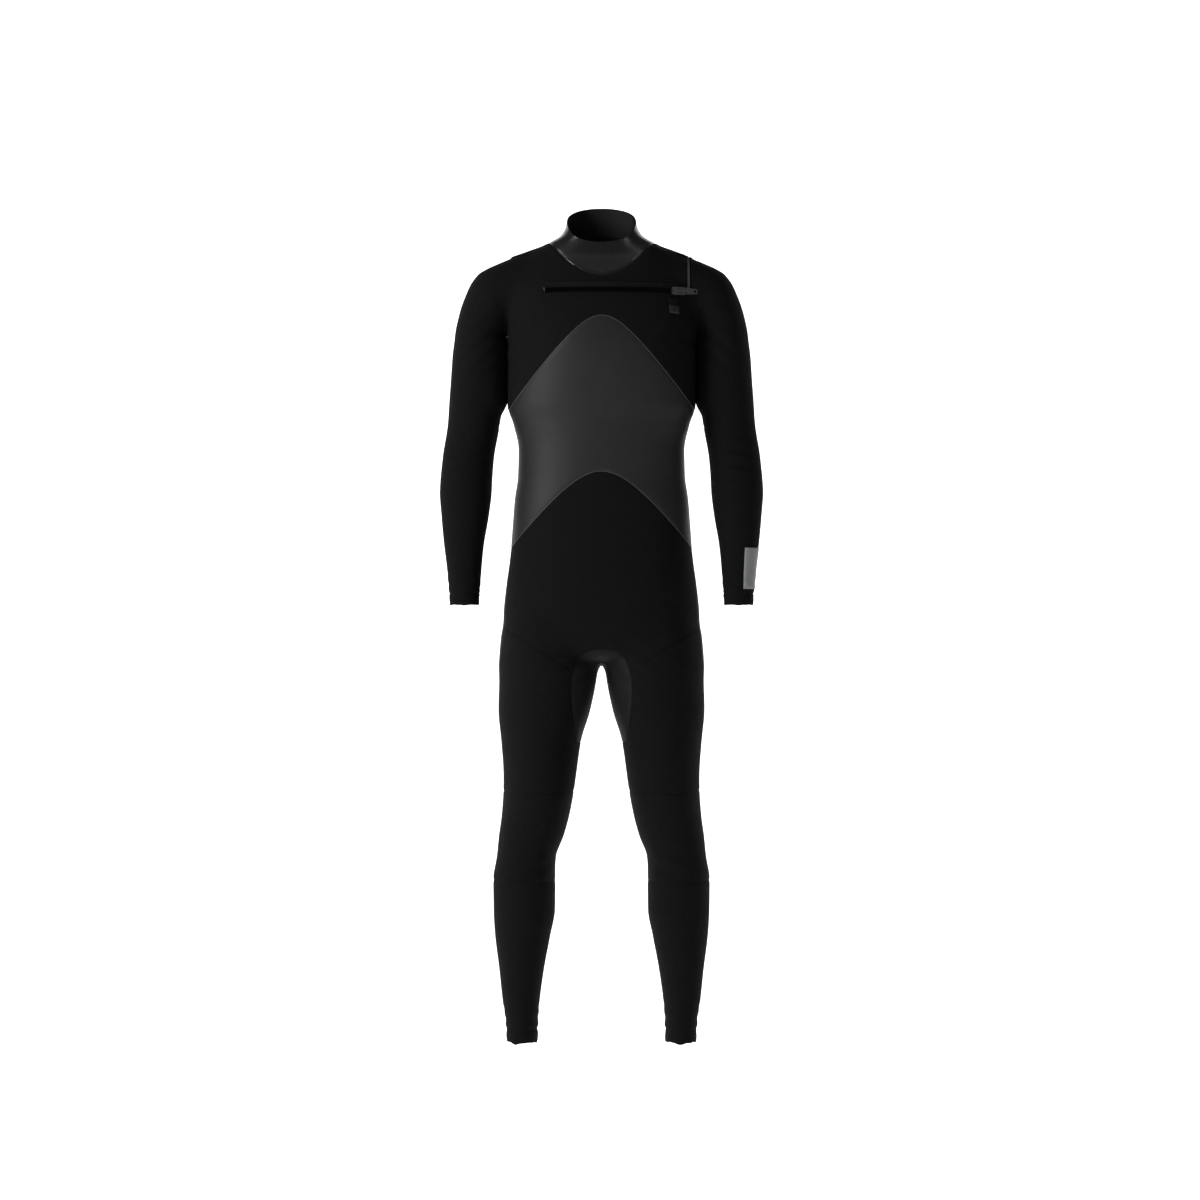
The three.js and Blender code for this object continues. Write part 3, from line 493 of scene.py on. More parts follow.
def sleeve_edge(p):
    """The armhole seam of a sleeve, which turns in under the armpit and leaves the sleeve whole."""
    seam_x = np.interp(p[:, 2], [0.579, 0.581, 0.585, 0.640], [0.155, 0.1708, 0.170, 0.1584])
    return np.abs(p[:, 0]) - seam_x


def rounded(corners, rounds=2):
    """A closed outline with its corners cut off a few times, which rounds them."""
    outline = np.array(corners, float)
    for _ in range(rounds):
        ahead = np.roll(outline, -1, axis=0)
        outline = np.stack([0.75 * outline + 0.25 * ahead, 0.25 * outline + 0.75 * ahead], 1)
        outline = outline.reshape(-1, 2)
    return outline


def beyond(outline, u, v):
    """Distance from points (u, v) to a closed outline, negative inside it."""
    a, b = outline, np.roll(outline, -1, axis=0)
    best = np.full(u.shape, np.inf)
    inside = np.zeros(u.shape, bool)
    for (au, av), (bu, bv) in zip(a, b):
        du, dv = bu - au, bv - av
        t = np.clip(((u - au) * du + (v - av) * dv) / (du * du + dv * dv + 1e-12), 0, 1)
        best = np.minimum(best, np.hypot(u - au - t * du, v - av - t * dv))
        if av != bv:
            inside ^= ((av > v) != (bv > v)) & (u < au + (v - av) * du / (bv - av))
    return np.where(inside, -best, best)


GUSSET_SIDE = [[20, 24], [38, 12], [51, -14], [53, -50], [50, -84], [46, -114], [44, -146]]
gusset_outline = rounded(
    [[x * MM, z * MM] for x, z in GUSSET_SIDE] + [[-x * MM, z * MM] for x, z in GUSSET_SIDE[::-1]]
)
hip_outline = rounded([[-0.026, -0.169], [0.038, -0.141], [0.0316, 0.200], [-0.0196, 0.200]], 1)


def gusset(p):
    return beyond(gusset_outline, p[:, 0], p[:, 2])


def hip(p):
    side = beyond(hip_outline, p[:, 1], p[:, 2])
    return np.where(np.abs(p[:, 0]) > 0.1, side, 0.05)


def wavy_hem(p, height, middle, depth, size):
    """A hem at a height that rises and falls a little round the limb."""
    turn = np.arctan2(p[:, 1] - depth, np.abs(p[:, 0]) - middle) + np.where(p[:, 0] > 0, 0, 1)
    wave = np.sin(5 * turn) + 0.6 * np.sin(9 * turn + 1) + 0.4 * np.sin(14 * turn + 2)
    return p[:, 2] - height - size * wave


def ankle_hem(p):
    return wavy_hem(p, ANKLE_HEM + 0.0014, 0.1415, 0.0, 0.0012)


def wrist_hem(p):
    return wavy_hem(p, WRIST_HEM, 0.243, -0.038, 0.0004)


# %% Cut the two skins
def level(height):
    return lambda p: p[:, 2] - height


def across(place):
    return lambda p: p[:, 0] - place


def round_zip(p):
    return in_front(p) & (p[:, 0] > -0.11) & (p[:, 0] < 0.162)


def on_yoke(p):
    return in_front(p) & (p[:, 2] > ZIP_HEIGHT - 0.001) & (collar_seam(p) < 0)


def by_zip_line(p):
    return in_front(p) & (np.abs(p[:, 2] - ZIP_HEIGHT) < ZIP_REACH)


def by_flap_edge(p):
    return in_front(p) & (p[:, 2] > ZIP_HEIGHT - ZIP_REACH) & (p[:, 2] < 0.74)


def beyond_zip(p):
    return in_front(p) & ((p[:, 0] < ZIP_RIGHT) | (p[:, 0] > ZIP_LEFT))


def below_hips(p):
    return p[:, 2] < 0.1


def by_arms(p):
    return p[:, 2] > 0.4


for seam, keep_low in ((ankle_hem, False), (collar_top, True)):
    cut_along(trunk_skin, seam)
    trim(trunk_skin, lambda c, s=seam, low=keep_low: (s(c) < 0) == low)
cut_along(trunk_skin, armhole, by_arms)
trim(trunk_skin, lambda c: (armhole(c) < 0) | ~by_arms(c))
for seam, keep_low in ((wrist_hem, False), (sleeve_edge, False)):
    cut_along(arm_skin, seam)
    trim(arm_skin, lambda c, s=seam, low=keep_low: (s(c) < 0) == low)

cut_along(trunk_skin, lambda p: p[:, 1] - SIDE_SEAM, lambda p: collar_seam(p) < 0.01)
cut_along(trunk_skin, collar_seam, lambda p: p[:, 2] > 0.66)
for side in (1, -1):
    cut_along(trunk_skin, level(ZIP_HEIGHT + side * ZIP_LIP), round_zip)
cut_along(trunk_skin, across(ZIP_LEFT), by_flap_edge)
cut_along(trunk_skin, across(ZIP_RIGHT), by_zip_line)
cut_along(trunk_skin, level(ZIP_HEIGHT), beyond_zip)
for place in (FLAP_EDGE, FOLD_START, FOLD_END):
    cut_along(trunk_skin, across(place), on_yoke)
for seam, middle, reach in (
    (gusset, -0.06, 0.12), (hip, 0.02, 0.22), (upper_arch, 0.53, 0.12), (lower_arch, 0.26, 0.12),
    (leg_seam, 0.0, 0.12),
):
    cut_along(trunk_skin, seam, lambda p, m=middle, r=reach: np.abs(p[:, 2] - m) < r)
for height in (KNEE_TOP, KNEE_LOW, ANKLE_SEAM):
    cut_along(trunk_skin, level(height), below_hips)
for height in (ELBOW_TOP, ELBOW_LOW, WRIST_SEAM):
    cut_along(arm_skin, level(height))
cut_along(
    arm_skin,
    lambda p: p[:, 1] - ELBOW_MIDDLE,
    lambda p: (p[:, 2] < ELBOW_TOP) & (p[:, 2] > ELBOW_LOW),
)
print("after cutting:", len(trunk_skin.triangles), "and", len(arm_skin.triangles), "triangles")

# %% [markdown]
# ## Which triangle belongs to which panel
#
# The middle of a triangle tells which panel it lies in. The tests run from the most particular, such as
# the gusset, to the most general, and the first that fits gives the name.


# %% Name the panels
def trunk_panels(p):
    x, y, z = p.T
    front = in_front(p)
    left = x > 0
    slot_in_x = (x > ZIP_RIGHT) & (x < ZIP_LEFT)
    above_zip = front & (z > ZIP_HEIGHT)

    def sided(piece):
        return np.where(left, "left_" + piece, "right_" + piece)

    tests = [
        (z < ANKLE_SEAM, sided("ankle_cuff")),
        ((z < KNEE_LOW) & front, sided("shin_panel")),
        (z < KNEE_LOW, sided("calf_panel")),
        ((z < KNEE_TOP) & front, sided("knee_pad")),
        (z < KNEE_TOP, sided("knee_back")),
        (gusset(p) < 0, "crotch_gusset"),
        (hip(p) < 0, sided("hip_panel")),
        (collar_seam(p) > 0, "collar"),
        (front & slot_in_x & (np.abs(z - ZIP_HEIGHT) < ZIP_LIP), "open"),
        (above_zip & (x > FLAP_EDGE), "open"),
        (above_zip & (x > ZIP_LEFT), "flap_edge_binding"),
        (above_zip & (x > FOLD_END), "chest_flap_panel"),
        (above_zip & (x > FOLD_START), "chest_flap_fold"),
        (above_zip, "right_front_yoke"),
        (front & (upper_arch(p) > 0), "upper_chest_panel"),
        (front & (lower_arch(p) > 0), "torso_panel_front"),
        (front & (leg_seam(p) > 0), "lower_front_panel"),
        (front, sided("thigh_front")),
        (upper_arch(p) > 0, "back_yoke"),
        (lower_arch(p) > 0, "torso_panel_back"),
        (leg_seam(p) > 0, "seat_panel"),
    ]
    return np.select([t for t, _ in tests], [n for _, n in tests], sided("thigh_back"))


def arm_panels(p):
    x, y, z = p.T
    tests = [
        (z > ELBOW_TOP, "upper_sleeve"),
        ((z > ELBOW_LOW) & (y < ELBOW_MIDDLE), "inner_elbow"),
        (z > ELBOW_LOW, "elbow_pad"),
        (z > WRIST_SEAM, "forearm_sleeve"),
    ]
    return np.select([t for t, _ in tests], [n for _, n in tests], "wrist_cuff")


trunk_names = trunk_panels(trunk_skin.points[trunk_skin.triangles].mean(1))
arm_names = arm_panels(arm_skin.points[arm_skin.triangles].mean(1))
print("panels:", sorted(set(trunk_names)) + sorted(set(arm_names)))

# %% [markdown]
# ## Materials
#
# Every finish below is made from nodes. A small class wraps a node's output, so that shader maths reads
# as ordinary arithmetic, and one method adds any other node. The patterns are fixed to the cloth by an
# attribute that holds each point's place on the suit at rest. When a panel bends, the weave bends too.

# %% Shader arithmetic


class Value:
    """A number that changes over a surface. Arithmetic on it adds Math nodes."""

    def __init__(self, finish, socket):
        self.finish = finish
        self.socket = socket

    def math(self, operation, *values):
        return self.finish.node("ShaderNodeMath", {"operation": operation}, dict(enumerate(values)))

    def __add__(self, other):
        return self.math("ADD", self, other)

    def __sub__(self, other):
        return self.math("SUBTRACT", self, other)

    def __rsub__(self, other):
        return self.math("SUBTRACT", other, self)

    def __mul__(self, other):
        return self.math("MULTIPLY", self, other)

    def sine(self):
        return self.math("SINE", self)

    __radd__ = __add__
    __rmul__ = __mul__


class Finish:
    """A material whose nodes are added one by one."""

    def __init__(self, name, on_frame=False, **shader):
        self.material = bpy.data.materials.new(name)
        self.material.use_nodes = True
        self.tree = self.material.node_tree
        self.shader = self.tree.nodes["Principled BSDF"]
        for socket, value in shader.items():
            self.shader.inputs[socket.replace("_", " ")].default_value = value
        if on_frame:
            self.place = self.node("ShaderNodeTexCoord", output="Object")
        else:
            self.place = self.node("ShaderNodeAttribute", {"attribute_name": "place"}, output="Vector")

    def node(self, kind, settings=None, sockets=None, output=0):
        """Adds a node, sets it up, feeds its sockets, and gives back one of its outputs."""
        made = self.tree.nodes.new(kind)
        for key, value in (settings or {}).items():
            setattr(made, key, value)
        for key, value in (sockets or {}).items():
            self.feed(made.inputs[key], value)
        return Value(self, made.outputs[output])

    def feed(self, socket, value):
        if isinstance(value, Value):
            self.tree.links.new(value.socket, socket)
        else:
            socket.default_value = value

    def noise(self, scale, detail=2.0):
        """Cloudy noise from 0 to 1; scale is in spots per metre."""
        return self.node(
            "ShaderNodeTexNoise", {}, {"Vector": self.place, "Scale": scale, "Detail": detail}
        )

    def cells(self, scale, feature="F1"):
        return self.node(
            "ShaderNodeTexVoronoi", {"feature": feature}, {"Vector": self.place, "Scale": scale}
        )

    def axes(self):
        """The place on the suit as three numbers."""
        parts = self.node("ShaderNodeSeparateXYZ", {}, {0: self.place}).socket.node
        return [Value(self, parts.outputs[i]) for i in range(3)]

    def colour(self, low, high, share):
        """A colour between two greys or colours."""
        made = self.tree.nodes.new("ShaderNodeMix")
        made.data_type = "RGBA"
        colours = [s for s in made.inputs if s.type == "RGBA"]
        for socket, value in zip(colours, (low, high)):
            socket.default_value = (*value, 1)
        self.feed(made.inputs[0], share)
        self.feed(self.shader.inputs["Base Color"], Value(self, made.outputs[2]))

    def rough(self, low, high, share):
        self.feed(self.shader.inputs["Roughness"], share * (high - low) + low)

    def relief(self, height, depth, strength=1.0):
        """Bumps of a depth in metres."""
        bump = self.node(
            "ShaderNodeBump", {}, {"Height": height, "Distance": depth, "Strength": strength}
        )
        self.feed(self.shader.inputs["Normal"], bump)


# %% [markdown]
# ### Knitted jersey
#
# Most of the suit is faced with black jersey, a fine stretch knit. Its loops stand in columns about a
# millimetre apart, and they scatter light, so it has almost no gloss. The loops are two crossed waves,
# and a cloudy noise gives the slight unevenness of dye and wear.


# %% Jersey, lining and woven tape
def knitted(name, dark, light, pitch, sheen, low_rough=0.78, high_rough=0.95):
    finish = Finish(name, Sheen_Weight=sheen, Sheen_Roughness=0.5, Specular_IOR_Level=0.06)
    x, y, z = finish.axes()
    turns = 2 * math.pi / pitch
    loops = ((x + y) * turns).sine() * ((z * (turns * 0.8)) + ((x - y) * turns).sine() * 0.7).sine()
    cloud = finish.noise(9, 4)
    finish.colour(dark, light, cloud * 0.75 + loops * 0.2 + 0.1)
    finish.rough(low_rough, high_rough, cloud)
    finish.relief(loops + finish.noise(900) * 0.8, pitch * 0.22, 0.7)
    return finish.material


def woven(name, dark, light, pitch):
    finish = Finish(name, Specular_IOR_Level=0.1)
    x, y, z = finish.axes()
    turns = 2 * math.pi / pitch
    weft = ((z + x * 0.5) * turns).sine()
    twill = ((z - x * 0.5) * turns).sine()
    cloud = finish.noise(40, 3)
    finish.colour(dark, light, weft * 0.2 + twill * 0.2 + cloud * 0.6)
    finish.rough(0.7, 0.92, cloud)
    finish.relief(weft * twill + finish.noise(1500) * 0.5, pitch * 0.2, 0.8)
    return finish.material


def grey(level, tint=1.04):
    """A dark grey with a trace of blue, as black dye and black rubber have."""
    return (level, level * (1 + tint) / 2, level * tint)


jersey = knitted("black jersey", grey(0.0019), grey(0.0036), 0.0011, 0.0)
pad_jersey = knitted("bonded pad jersey", grey(0.0014), grey(0.0028), 0.0021, 0.0, 0.70, 0.88)
lining = knitted("inner lining", grey(0.008), grey(0.016), 0.0016, 0.0)
zip_cloth = woven("woven zip tape", grey(0.0012), grey(0.0024), 0.0012)
edge_cloth = woven("grey edge tape", grey(0.025), grey(0.055), 0.0010)
thread = woven("sewing thread", grey(0.002), grey(0.006), 0.0006)

# %% [markdown]
# ### Smooth skin
#
# The front panel and the collar have no knit on them: they show the rubber's own skin, pressed with a
# very fine grain. It has a soft gloss that the jersey lacks, which is why it reads as a lighter charcoal.


# %% Rubber skins
def rubber_skin(name, dark, light, grain, depth, low_rough, high_rough, shine=0.2, coat=0.0):
    finish = Finish(name, Coat_Weight=coat, Coat_Roughness=0.25, Specular_IOR_Level=shine)
    pebbles = finish.cells(grain)
    cloud = finish.noise(7, 5)
    scuffs = finish.noise(60, 6)
    finish.colour(dark, light, cloud * 0.6 + pebbles * 0.3 + scuffs * 0.2)
    finish.rough(low_rough, high_rough, cloud * 0.6 + scuffs * 0.4)
    finish.relief(pebbles * 0.8 + scuffs * 0.4, depth, 0.6)
    return finish.material


smooth_skin = rubber_skin(
    "smooth charcoal skin", grey(0.0068), grey(0.0124), 1100, 0.00018, 0.44, 0.60, 0.13
)
collar_rubber = rubber_skin(
    "collar skin", grey(0.0040), grey(0.0075), 1500, 0.00005, 0.20, 0.30, 0.26, 0.0
)
gusset_skin = rubber_skin(
    "textured gusset skin", grey(0.0036), grey(0.0062), 700, 0.00030, 0.55, 0.75, 0.07
)
moulded_rubber = rubber_skin("moulded rubber", grey(0.007), grey(0.012), 1300, 0.00010, 0.42, 0.6)
patch_rubber = rubber_skin("bonded rubber patch", grey(0.13), grey(0.18), 1200, 0.00008, 0.45, 0.6)
foam_edge = rubber_skin("cut foam edge", grey(0.0012), grey(0.0026), 1800, 0.00025, 0.8, 0.95, 0.02)
# The seam bead is a real ridge of glue; its grey, lighter than the panel, is a painted highlight along the
# seam's edge.
painted_highlight_bead = rubber_skin("seam bead with painted highlight", grey(0.020), grey(0.040), 500, 0.00005, 0.35, 0.5)


# %% [markdown]
# ### Metal and plastic
#
# The slider is die-cast and tumbled to a satin shine, the puller is coated dark, and the teeth are
# moulded plastic. Fine scratches and handling marks live in the roughness and a very shallow bump.


# %% Zip hardware
def hard(name, dark, light, metallic, low_rough, high_rough, on_frame, shine=0.5):
    finish = Finish(name, on_frame, Metallic=metallic, Specular_IOR_Level=shine)
    marks = finish.noise(1400, 6)
    cloud = finish.noise(160, 4)
    finish.colour(dark, light, cloud * 0.7 + marks * 0.3)
    finish.rough(low_rough, high_rough, marks * 0.5 + cloud * 0.5)
    finish.relief(marks, 0.00004, 0.5)
    return finish.material


slider_metal = hard(
    "satin slider metal", (0.075, 0.072, 0.070), (0.15, 0.145, 0.14), 0.95, 0.28, 0.44, True
)
stop_metal = hard("dark stop metal", grey(0.008), grey(0.016), 0.6, 0.5, 0.65, True)
puller_metal = hard("dark coated metal", grey(0.045), grey(0.09), 0.8, 0.32, 0.5, True)
tooth_plastic = hard("moulded tooth plastic", grey(0.0008), grey(0.0016), 0.0, 0.7, 0.85, False, 0.04)
print("materials:", len(bpy.data.materials))

# %% [markdown]
# ## From triangles to panels
#
# A panel is a sheet of foam about four millimetres thick. Its outer face is a part of the skin, its inner
# face is the same part moved inwards, and a rim joins the two, so each panel is one closed shell. Along a
# glued seam both panels dip a little, as foam does where a needle pulls it together. Panels that are
# really one length of cloth, divided only because a part of them bends, meet without that dip.

# %% Panel thickness, dips and soft folds
WALL = 0.004
LIP_WALL = 0.0010
SEAM_DIP = 0.0011
ONE_CLOTH = [
    {"right_front_yoke", "chest_flap_fold", "chest_flap_panel", "upper_chest_panel"},
    {"upper_sleeve", "inner_elbow", "forearm_sleeve"},
    {"left_thigh_back", "left_knee_back", "left_calf_panel"},
    {"right_thigh_back", "right_knee_back", "right_calf_panel"},
]
SOFT_FOLDS = [  # middle, reach, direction in which the folds follow each other, spacing, height
    [(0.186, -0.060, 0.560), 0.075, (0.55, 0.10, 0.83), 0.030, 0.0016],
    [(0.150, -0.100, 0.600), 0.060, (0.75, 0.20, -0.63), 0.034, 0.0010],
    [(0.236, -0.045, 0.362), 0.070, (0.15, 0.20, 0.97), 0.026, 0.0014],
    [(0.135, 0.065, -0.310), 0.090, (0.10, 0.15, 0.98), 0.030, 0.0014],
    [(0.120, -0.060, -0.355), 0.070, (0.40, 0.10, 0.91), 0.034, 0.0008],
    [(0.050, -0.085, 0.005), 0.070, (0.60, 0.10, 0.79), 0.028, 0.0013],
    [(0.142, 0.000, -0.640), 0.060, (0.30, 0.20, 0.93), 0.022, 0.0011],
    [(0.243, -0.035, 0.135), 0.050, (0.20, 0.30, 0.93), 0.020, 0.0008],
    [(0.110, 0.100, 0.300), 0.110, (0.35, 0.10, 0.93), 0.044, 0.0012],
]


def folds(p):
    """Height of the soft folds at points, a little different on the two sides."""
    height = np.zeros(len(p))
    side = np.where(p[:, 0] > 0, 1.0, 1.17)
    mirrored = p * np.where(p[:, :1] > 0, [1, 1, 1], [-1, 1, 1])
    for middle, reach, direction, spacing, size in SOFT_FOLDS:
        away = np.linalg.norm(mirrored - middle, axis=1) / reach
        along = (mirrored - middle) @ np.array(direction) * side
        bend = 0.004 * np.sin(mirrored[:, 1] * 55 + mirrored[:, 0] * 40)
        height += size * (1 - ramp(away, 0.2, 1)) * np.sin(2 * math.pi * (along + bend) / spacing)
    return height


def lip_share(p):
    """1 on the thin lips beside the zip, 0 away from them."""
    off_zip = np.abs(p[:, 2] - ZIP_HEIGHT)
    along = ramp(p[:, 0], -0.112, -0.104) * (1 - ramp(p[:, 0], 0.153, 0.157))
    return (1 - ramp(off_zip, 0.0138, 0.0175)) * along * (p[:, 1] < SIDE_SEAM)


def vertex_normals(points, triangles):
    """Smooth normals of a set of triangles, at every point they use."""
    a, b, c = (points[triangles[:, i]] for i in range(3))
    facet = np.cross(b - a, c - a)
    total = np.zeros_like(points)
    for i in range(3):
        np.add.at(total, triangles[:, i], facet)
    return total / np.maximum(np.linalg.norm(total, axis=1), 1e-12)[:, None]


class Cloth:
    """A cut skin with its panels' names, its dips and folds, and its inner face."""

    def __init__(self, skin, names, mirror=False):
        flip = np.array([-1, 1, 1]) if mirror else np.array([1, 1, 1])
        self.names = names
        groups = np.array([cloth_group(n) for n in names])
        kinds, number = np.unique(groups, return_inverse=True)
        low = np.full(len(skin.points), len(kinds))
        high = np.full(len(skin.points), -1)
        for i in range(3):
            np.minimum.at(low, skin.triangles[:, i], number)
            np.maximum.at(high, skin.triangles[:, i], number)
        seam = low != high
        by_zip = np.abs(skin.points[:, 2] - ZIP_HEIGHT) < ZIP_LIP + 1e-4
        outward = skin.slope(skin.points)
        outward /= np.linalg.norm(outward, axis=1)[:, None]
        rest = skin.points * flip
        outward = outward * flip
        off_zip = np.abs(skin.points[:, 2] - ZIP_HEIGHT)
        sunk = 0.0009 * lip_share(rest) * (1 - ramp(off_zip, ZIP_LIP, 0.012))
        height = folds(rest) - SEAM_DIP * (seam & ~by_zip) - sunk
        self.outer = rest + outward * height[:, None]
        wall = WALL + (LIP_WALL - WALL) * lip_share(rest)
        self.inner = rest + outward * (folds(rest) - sunk - wall)[:, None]
        self.rest = rest
        self.triangles = skin.triangles[:, ::-1] if mirror else skin.triangles
        self.normals = {}
        for k, kind in enumerate(kinds):
            self.normals[kind] = vertex_normals(self.outer, self.triangles[number == k])


def cloth_group(name):
    for number, group in enumerate(ONE_CLOTH):
        if name in group:
            return f"cloth_{number}"
    return str(name)


def biggest_part(triangles):
    """The triangles that hang together in one sheet; a sliver by a corner is left out."""
    used, place = np.unique(triangles, return_inverse=True)
    place = place.reshape(-1, 3)
    root = np.arange(len(used))
    while True:
        lowest = root[place].min(1)
        before = root.copy()
        for i in range(3):
            np.minimum.at(root, place[:, i], lowest)
        root = root[root]
        if (before == root).all():
            break
    part = root[place[:, 0]]
    count = np.bincount(part)
    return part == count.argmax()


# %% Build one closed panel


def open_edges(triangles):
    """Edges that only one triangle has, in the direction that triangle runs."""
    edges = np.concatenate([triangles[:, [i, (i + 1) % 3]] for i in range(3)])
    key = np.sort(edges, axis=1)
    _, first, count = np.unique(key, axis=0, return_index=True, return_counts=True)
    return edges[first[count == 1]]


def new_mesh(name, points, faces, materials, face_material, corner_normals=None, rest=None):
    """A mesh object from points and faces, with its cloth places and, if given, its normals."""
    mesh = bpy.data.meshes.new(name)
    mesh.from_pydata(points.tolist(), [], faces)
    for material in materials:
        mesh.materials.append(material)
    mesh.polygons.foreach_set("material_index", np.asarray(face_material, np.int32))
    mesh.polygons.foreach_set("use_smooth", np.ones(len(mesh.polygons), bool))
    place = mesh.attributes.new("place", "FLOAT_VECTOR", "POINT")
    place.data.foreach_set("vector", (points if rest is None else rest).astype(np.float32).ravel())
    if corner_normals is not None:
        mesh.normals_split_custom_set(corner_normals.tolist())
    mesh.update()
    made = bpy.data.objects.new(name, mesh)
    bpy.context.scene.collection.objects.link(made)
    return made


def panel(cloth, label, name, face, proud=0.0):
    """The closed shell of one named panel: face outside, lining inside, cut foam round the rim."""
    picked = cloth.triangles[cloth.names == label]
    picked = picked[biggest_part(picked)]
    normal = cloth.normals[cloth_group(label)]
    used, place = np.unique(picked, return_inverse=True)
    place = place.reshape(-1, 3)
    count = len(used)
    outer = cloth.outer[used] + normal[used] * proud
    points = np.concatenate([outer, cloth.inner[used]])
    rim = open_edges(place)
    rim_faces = np.stack([rim[:, 1], rim[:, 0], rim[:, 0] + count, rim[:, 1] + count], 1)
    faces = place.tolist() + (place[:, ::-1] + count).tolist() + rim_faces.tolist()
    corners = normal[used][place.ravel()]
    inner_corners = -normal[used][place[:, ::-1].ravel()]
    across_rim = points[rim_faces[:, 1]] - points[rim_faces[:, 0]]
    down_rim = points[rim_faces[:, 3]] - points[rim_faces[:, 0]]
    rim_normal = np.cross(across_rim, down_rim)
    rim_normal /= np.maximum(np.linalg.norm(rim_normal, axis=1), 1e-12)[:, None]
    normals = np.concatenate([corners, inner_corners, np.repeat(rim_normal, 4, axis=0)])
    kind = [0] * len(place) + [1] * len(place) + [2] * len(rim_faces)
    rest = np.concatenate([cloth.rest[used]] * 2)
    made = new_mesh(name, points, faces, [face, lining, foam_edge], kind, normals, rest)
    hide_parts(name)
    return made


# %% [markdown]
# ## Panels of the trunk and the legs
#
# Every panel takes the name of the frame's panel that it stands for, with its own face. A panel that
# belongs to one body rides on it. The panels at the knees and elbows, the fold of the flap and the collar
# stay fixed where they stand at rest, on no body.

# %% Make and hang the panels
trunk_cloth = Cloth(trunk_skin, trunk_names)
FACES = {
    "torso_panel_front": (smooth_skin, "smooth_skin"),
    "torso_panel_back": (smooth_skin, "smooth_skin"),
    "collar": (collar_rubber, "collar_skin"),
    "crotch_gusset": (gusset_skin, "hip_skin"),
    "hip_panel": (gusset_skin, "hip_skin"),
    "knee_pad": (pad_jersey, "hip_skin"),
    "elbow_pad": (pad_jersey, "hip_skin"),
    "flap_edge_binding": (edge_cloth, "edge_tape"),
}


def hang(piece, kind, side, body):
    """Rides a panel on its body, by the kind of panel it is; the panels at the knees and elbows, the
    collar and the flap's fold stay fixed in place on no body.
    """
    if kind in ("knee_pad", "knee_back"):
        side + "shin"
        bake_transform(piece)
    elif kind in ("inner_elbow", "elbow_pad"):
        side + "forearm"
        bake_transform(piece)
    elif kind in ("collar", "chest_flap_fold"):
        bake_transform(piece)
    else:
        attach(piece, body)


def body_of_panel(kind, side):
    if kind in ("shin_panel", "calf_panel", "ankle_cuff"):
        return side + "shin"
    if kind in ("forearm_sleeve", "wrist_cuff"):
        return side + "forearm"
    if kind in ("chest_flap_panel", "flap_edge_binding"):
        return "chest_flap"
    return "suit"


def make_panels(cloth, prefix=""):
    for label in sorted(set(cloth.names) - {"open"}):
        name = prefix + str(label)
        side = next((s for s in ("left_", "right_") if name.startswith(s)), "")
        kind = name[len(side):] if name != "right_front_yoke" else name
        face, slot = FACES.get(kind, (jersey, "jersey"))
        proud = 0.0005 if kind == "flap_edge_binding" else 0.0
        made = panel(cloth, label, name, face, proud)
        hang(made, kind, side, body_of_panel(kind, side))


make_panels(trunk_cloth)
make_panels(Cloth(arm_skin, arm_names), "left_")
make_panels(Cloth(arm_skin, arm_names, mirror=True), "right_")

# %% [markdown]
# ## The zip
#
# A zip is two woven tapes with a row of moulded teeth on each. Both tapes follow one arc over the chest,
# which is the arc the slider runs on. The teeth are made one by one: a square root that grips the tape, a
# narrow neck and a wider head that stands between two heads of the other row. The upper row stays fixed
# where it stands at rest, on no body, and the lower row stays on the suit.

# %% Points on the zip's arc
ARC_RADIUS, ARC_MIDDLE = 0.294949, 0.194949
ZIP_START, ZIP_END = -0.100, 0.152


def on_arc(x, depth, height):
    """A point at a place across, a depth under the suit's surface, and a height from the zip's line."""
    x, depth, height = np.broadcast_arrays(*(np.asarray(v, float) for v in (x, depth, height)))
    angle = np.arcsin(x / ARC_RADIUS)
    radius = ARC_RADIUS - depth
    y = ARC_MIDDLE - radius * np.cos(angle)
    return np.stack([radius * np.sin(angle), y, ZIP_HEIGHT + height], -1)


def swept(sections):
    """Joins a row of closed outlines, given as arrays of points, into one tube."""
    rows, around = len(sections), len(sections[0])
    points = np.concatenate(sections)
    faces = []
    for i in range(rows - 1):
        for j in range(around):
            k = (j + 1) % around
            faces.append([i * around + j, i * around + k, (i + 1) * around + k, (i + 1) * around + j])
    faces.append(list(range(around))[::-1])
    faces.append([(rows - 1) * around + j for j in range(around)])
    return points, faces


def joined(parts):
    """Several point and face lists as one."""
    points, faces, count = [], [], 0
    for p, f in parts:
        points.append(p)
        faces += [[i + count for i in face] for face in f]
        count += len(p)
    return np.concatenate(points), faces


def outward_faces(made):
    """Turns every face of a closed mesh outwards."""
    work = bmesh.new()
    work.from_mesh(made.data)
    bmesh.ops.recalc_face_normals(work, faces=work.faces)
    work.to_mesh(made.data)
    work.free()
    return made


def trim_piece(name, parts, material, sharp=40):
    """A small piece from tubes, with edges sharper than an angle left crisp."""
    points, faces = joined(parts)
    made = new_mesh(name, points, faces, [material], np.zeros(len(faces)))
    outward_faces(made)
    made.data.set_sharp_from_angle(angle=math.radians(sharp))
    return made


# %% Tapes and teeth
TAPE_ROOT, TAPE_EDGE = 0.0040, 0.0132
TOOTH_PITCH, TOOTH_HEAD, TOOTH_NECK = 0.0034, 0.00088, 0.00055
TOOTH_TIP, TOOTH_SHOULDER, TOOTH_ROOT = 0.0006, 0.0022, 0.0044


